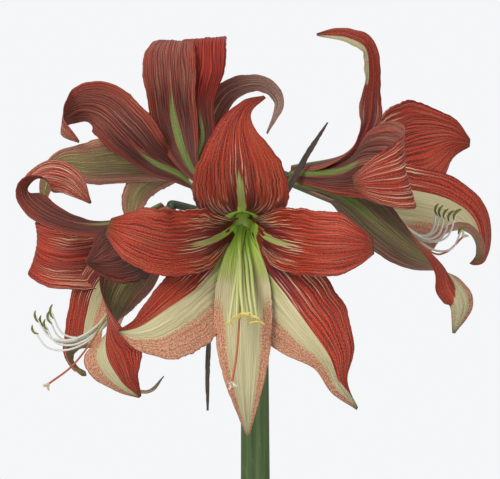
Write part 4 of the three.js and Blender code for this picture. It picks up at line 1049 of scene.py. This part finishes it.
def turned(profile, sides, wobble=None):
    """Points, faces and coordinates of a piece turned about Z from rows of radius and height."""
    angle = np.linspace(0, TURN, sides, endpoint=False)
    rings, where = [], []
    for n, (radius, height) in enumerate(profile):
        r = np.full(sides, float(radius))
        z = np.full(sides, float(height))
        if wobble is not None:
            r, z = wobble(r, z, angle, n / (len(profile) - 1))
        rings.append(np.stack([r * np.cos(angle), r * np.sin(angle), z], 1))
        where.append(np.stack([angle / TURN, np.full(sides, n / (len(profile) - 1))], 1))
    faces = strip_faces(len(profile) - 1, sides, closed=True)
    last = (len(profile) - 1) * sides
    faces += [tuple(range(sides - 1, -1, -1)), tuple(range(last, last + sides))]
    return np.concatenate(rings), faces, np.concatenate(where)


def dense(profile, step):
    """The same outline with points at most a step apart."""
    rows = [profile[0]]
    for a, b in zip(profile, profile[1:]):
        parts = max(1, math.ceil(math.dist(a, b) / step))
        for k in range(1, parts + 1):
            rows.append([a[0] + (b[0] - a[0]) * k / parts, a[1] + (b[1] - a[1]) * k / parts])
    return rows


def clay_look():
    look = Look("clay", 0.85)
    place = look.node("ShaderNodeTexCoord").outputs["Object"]
    coarse = look.noise(place, (18, 18, 26), 5, 0.6)
    speckle = look.noise(place, (420, 420, 420), 3, 0.6, 4)
    bloom = look.noise(place, (11, 11, 7), 5, 0.65, 9)
    rings = look.noise(place, (2, 2, 520), 2, 0.5, 2)
    colour = look.mix(look.step(coarse, 0.3, 0.7), "a35a3c", "c27a55")
    colour = look.mix(look.step(speckle, 0.6, 0.72, 0, 0.6), colour, "8a4a32")
    colour = look.mix(look.step(bloom, 0.52, 0.72, 0, 0.6), colour, "d8c3ae")
    height = look.sum(look.times(rings, 0.6), look.times(speckle, 0.5))
    return look.finish(colour, height, 0.5, look.step(coarse, 0.3, 0.7, 0.78, 0.92))


lip = POT_HEIGHT - RIM_HEIGHT
taper = (POT_TOP_RADIUS - RIM_STEP - POT_FOOT_RADIUS) / POT_HEIGHT


def wall_at(z):
    return POT_FOOT_RADIUS + taper * z


pot_profile = [
    [0.5, 0.6],
    [POT_FOOT_RADIUS - 4, 0.6],
    [POT_FOOT_RADIUS - 3, 0],
    [POT_FOOT_RADIUS - 1.5, 0],
    [POT_FOOT_RADIUS - 0.3, 0.8],
    [POT_FOOT_RADIUS, 2.2],
    [wall_at(lip - 1.4), lip - 1.4],
    [wall_at(lip) + 0.5, lip - 0.5],
    [wall_at(lip) + RIM_STEP - 0.9, lip],
    [wall_at(lip) + RIM_STEP, lip + 1.4],
    [POT_TOP_RADIUS - 0.1, POT_HEIGHT - 3],
    [POT_TOP_RADIUS - 0.7, POT_HEIGHT - 1],
    [POT_TOP_RADIUS - 2.2, POT_HEIGHT],
    [POT_TOP_RADIUS - POT_WALL - 1, POT_HEIGHT],
    [POT_TOP_RADIUS - POT_WALL - 2.6, POT_HEIGHT - 1],
    [wall_at(POT_HEIGHT) - POT_WALL, POT_HEIGHT - 3],
    [wall_at(POT_FLOOR) - POT_WALL, POT_FLOOR],
    [0.5, POT_FLOOR],
]


def throw_marks(r, z, angle, n):
    return r * (1 + 0.0012 * np.sin(3 * angle + z * 0.1)) + 0.12 * np.sin(z * 1.1), z


pot_parts = [turned(dense(pot_profile, 2.5), 128, throw_marks)]
pot = rod_object("clay_pot", pot_parts, [clay_look()])


def drilled(piece, drills):
    """Cuts the drills out of a piece and removes them."""
    for drill in drills:
        cut = piece.modifiers.new(drill.name, "BOOLEAN")
        cut.operation = "DIFFERENCE"
        cut.solver = "EXACT"
        cut.object = drill
    graph = bpy.context.evaluated_depsgraph_get()
    piece.data = bpy.data.meshes.new_from_object(piece.evaluated_get(graph))
    piece.modifiers.clear()
    for drill in drills:
        bpy.data.objects.remove(drill)


drill_profile = [[0.5, -2], [DRAIN_RADIUS, -2], [DRAIN_RADIUS, POT_FLOOR + 2], [0.5, POT_FLOOR + 2]]
drills = []
for k in range(4):
    angle = TURN * (k + 0.5) / 4
    points, faces, where = turned(drill_profile, 32)
    points = points + [DRAIN_CIRCLE * math.cos(angle), DRAIN_CIRCLE * math.sin(angle), 0]
    drills.append(new_object(f"drill_{k}", points, faces, []))
drilled(pot, drills)
stand_for(pot, "pot")


def soil_look():
    look = Look("soil", 0.95)
    place = look.node("ShaderNodeTexCoord").outputs["Object"]
    crumbs = look.noise(place, (240, 240, 240), 5, 0.7)
    patches = look.noise(place, (45, 45, 45), 3, 0.6, 3)
    fibre = look.noise(place, (900, 140, 500), 3, 0.6, 6)
    colour = look.mix(look.step(crumbs, 0.35, 0.65), "1f1610", "4a3728")
    colour = look.mix(look.step(patches, 0.5, 0.75, 0, 0.5), colour, "5f4a38")
    colour = look.mix(look.step(fibre, 0.62, 0.7, 0, 0.7), colour, "8d7455")
    height = look.sum(crumbs, look.times(fibre, 0.4))
    return look.finish(colour, height, 2.5, 0.95)


def crumbled(r, z, angle, n):
    bumps = np.zeros_like(r)
    for k, (rate, size) in enumerate([(7, 0.7), (17, 0.6), (37, 0.5), (71, 0.35)]):
        wave = np.sin(rate * angle + r * (0.35 + 0.23 * k) + k)
        bumps += size * wave * np.cos(r * (0.5 + 0.31 * k) + 2 * k)
    return r, z + np.where(z > SOIL_TOP - 4, bumps * ramp(63 - r, -1, 4), 0)


soil_profile = [
    [0.5, POT_FLOOR + 0.3],
    [wall_at(POT_FLOOR) - POT_WALL - 0.6, POT_FLOOR + 0.3],
    [wall_at(SOIL_TOP - 2) - POT_WALL - 0.3, SOIL_TOP - 2.5],
    [56, SOIL_TOP],
    [BULB_RADIUS - 1, SOIL_TOP + 2],
    [BULB_RADIUS - 4, SOIL_TOP - 3],
    [0.5, SOIL_TOP - 3],
]
soil = rod_object("potting_soil", [turned(dense(soil_profile, 0.9), 220, crumbled)], [soil_look()])
stand_for(soil, "soil")


def bulb_look():
    look = Look("bulb_tunic", 0.6)
    place = look.read("mm").outputs["Vector"]
    ribs = look.noise(place, (46, 0.02, 1), 3, 0.6)
    fine = look.noise(place, (150, 0.05, 1), 3, 0.6, 3)
    patch = look.noise(place, (7, 0.05, 1), 4, 0.65, 8)
    colour = look.mix(look.step(ribs, 0.3, 0.7), "6d4022", "a9713f")
    colour = look.mix(look.step(fine, 0.5, 0.72, 0, 0.5), colour, "4a2a17")
    colour = look.mix(look.step(patch, 0.55, 0.66, 0, 0.75), colour, "c9b07a")
    split = look.node("ShaderNodeSeparateXYZ", {0: place})
    neck = look.step(split.outputs[1], 78, 100)
    colour = look.mix(look.times(neck, 0.8), colour, "a9b073")
    height = look.sum(ribs, look.times(fine, 0.5))
    return look.finish(colour, height, 1.0, look.step(ribs, 0.3, 0.7, 0.45, 0.7))


def tunic(r, z, angle, n):
    ridge = 0.010 * np.sin(31 * angle + 2.5 * np.sin(z * 0.06)) + 0.008 * np.sin(53 * angle + z * 0.05)
    return r * (1 + ridge * ramp(r, 8, 24)), z + 0.25 * np.sin(5 * angle) * ramp(r, 8, 18)


bulb_outside = [[0.5, 74], [22, 76], [36, 84], [42, 92], [BULB_RADIUS, 100], [BULB_RADIUS, 116], [38, 132]]
bulb_outside += [[28, 146], [NECK_RADIUS + 1, 156]]
bulb_outside += [[NECK_RADIUS, NECK_TOP - 4], [NECK_RADIUS - 0.6, NECK_TOP - 1]]
socket_radius = SCAPE_FOOT_RADIUS + 0.4
bulb_socket = [[NECK_RADIUS - 2, NECK_TOP], [socket_radius, NECK_TOP]]
bulb_socket += [[socket_radius, NECK_TOP - 12], [0.5, NECK_TOP - 12]]
smooth_bulb = along(np.array(bulb_outside), np.linspace(0, 1, 90)).tolist() + bulb_socket
bulb = rod_object("amaryllis_bulb", [turned(smooth_bulb, 240, tunic)], [bulb_look()])
stand_for(bulb, "bulb")

# Floor, lights and camera.


def floor_look():
    look = Look("studio_floor", 0.7)
    place = look.node("ShaderNodeTexCoord").outputs["Object"]
    soft = look.noise(place, (1.5, 1.5, 1.5), 3, 0.6)
    colour = look.mix(look.step(soft, 0.3, 0.7), "e9eaec", "edeef0")
    return look.finish(colour)


floor_points = [[-3000, -3000, 0], [3000, -3000, 0], [3000, 2600, 0], [-3000, 2600, 0]]
floor = new_object("studio_floor", floor_points, [(0, 1, 2, 3)], [floor_look()], smooth=False)


def softbox(name, place, target, size, watts, colour=(1, 1, 1)):
    light = bpy.data.lights.new(name, "AREA")
    light.shape = "RECTANGLE"
    light.size, light.size_y = size
    light.energy = watts
    light.color = colour
    lamp = bpy.data.objects.new(name, light)
    bpy.context.scene.collection.objects.link(lamp)
    lamp.location = [c * MM for c in place]
    aim = np.array(target) - np.array(place)
    lamp.rotation_euler = Vector(aim).to_track_quat("-Z", "Y").to_euler()
    return lamp


softbox("key", (-900, -1500, 1500), (0, 0, 540), (0.9, 0.9), 30, (1, 0.985, 0.96))
softbox("fill", (1300, -1300, 900), (0, 0, 520), (1.4, 1.4), 7, (0.97, 0.98, 1))
softbox("top", (0, 300, 1900), (0, 0, 560), (1.6, 1.6), 9)

world = bpy.data.worlds.new("studio")
bpy.context.scene.world = world
world.use_nodes = True
background = world.node_tree.nodes["Background"]
background.inputs["Color"].default_value = linear("f5f6f8")
light_path = world.node_tree.nodes.new("ShaderNodeLightPath")
strength = world.node_tree.nodes.new("ShaderNodeMapRange")
strength.inputs["To Min"].default_value = 0.42
world.node_tree.links.new(light_path.outputs["Is Camera Ray"], strength.inputs["Value"])
world.node_tree.links.new(strength.outputs[0], background.inputs["Strength"])

camera_data = bpy.data.cameras.new("camera")
camera_data.sensor_width = SENSOR
camera_data.lens = SENSOR * -CAMERA_PLACE[1] / MM_PER_PIXEL / PHOTO_WIDTH
camera_data.clip_end = 20
camera = bpy.data.objects.new("camera", camera_data)
bpy.context.scene.collection.objects.link(camera)
camera.location = [c * MM for c in CAMERA_PLACE]
camera.rotation_euler = (math.pi / 2, 0, 0)
bpy.context.scene.camera = camera
bpy.context.scene.view_settings.view_transform = "Standard"
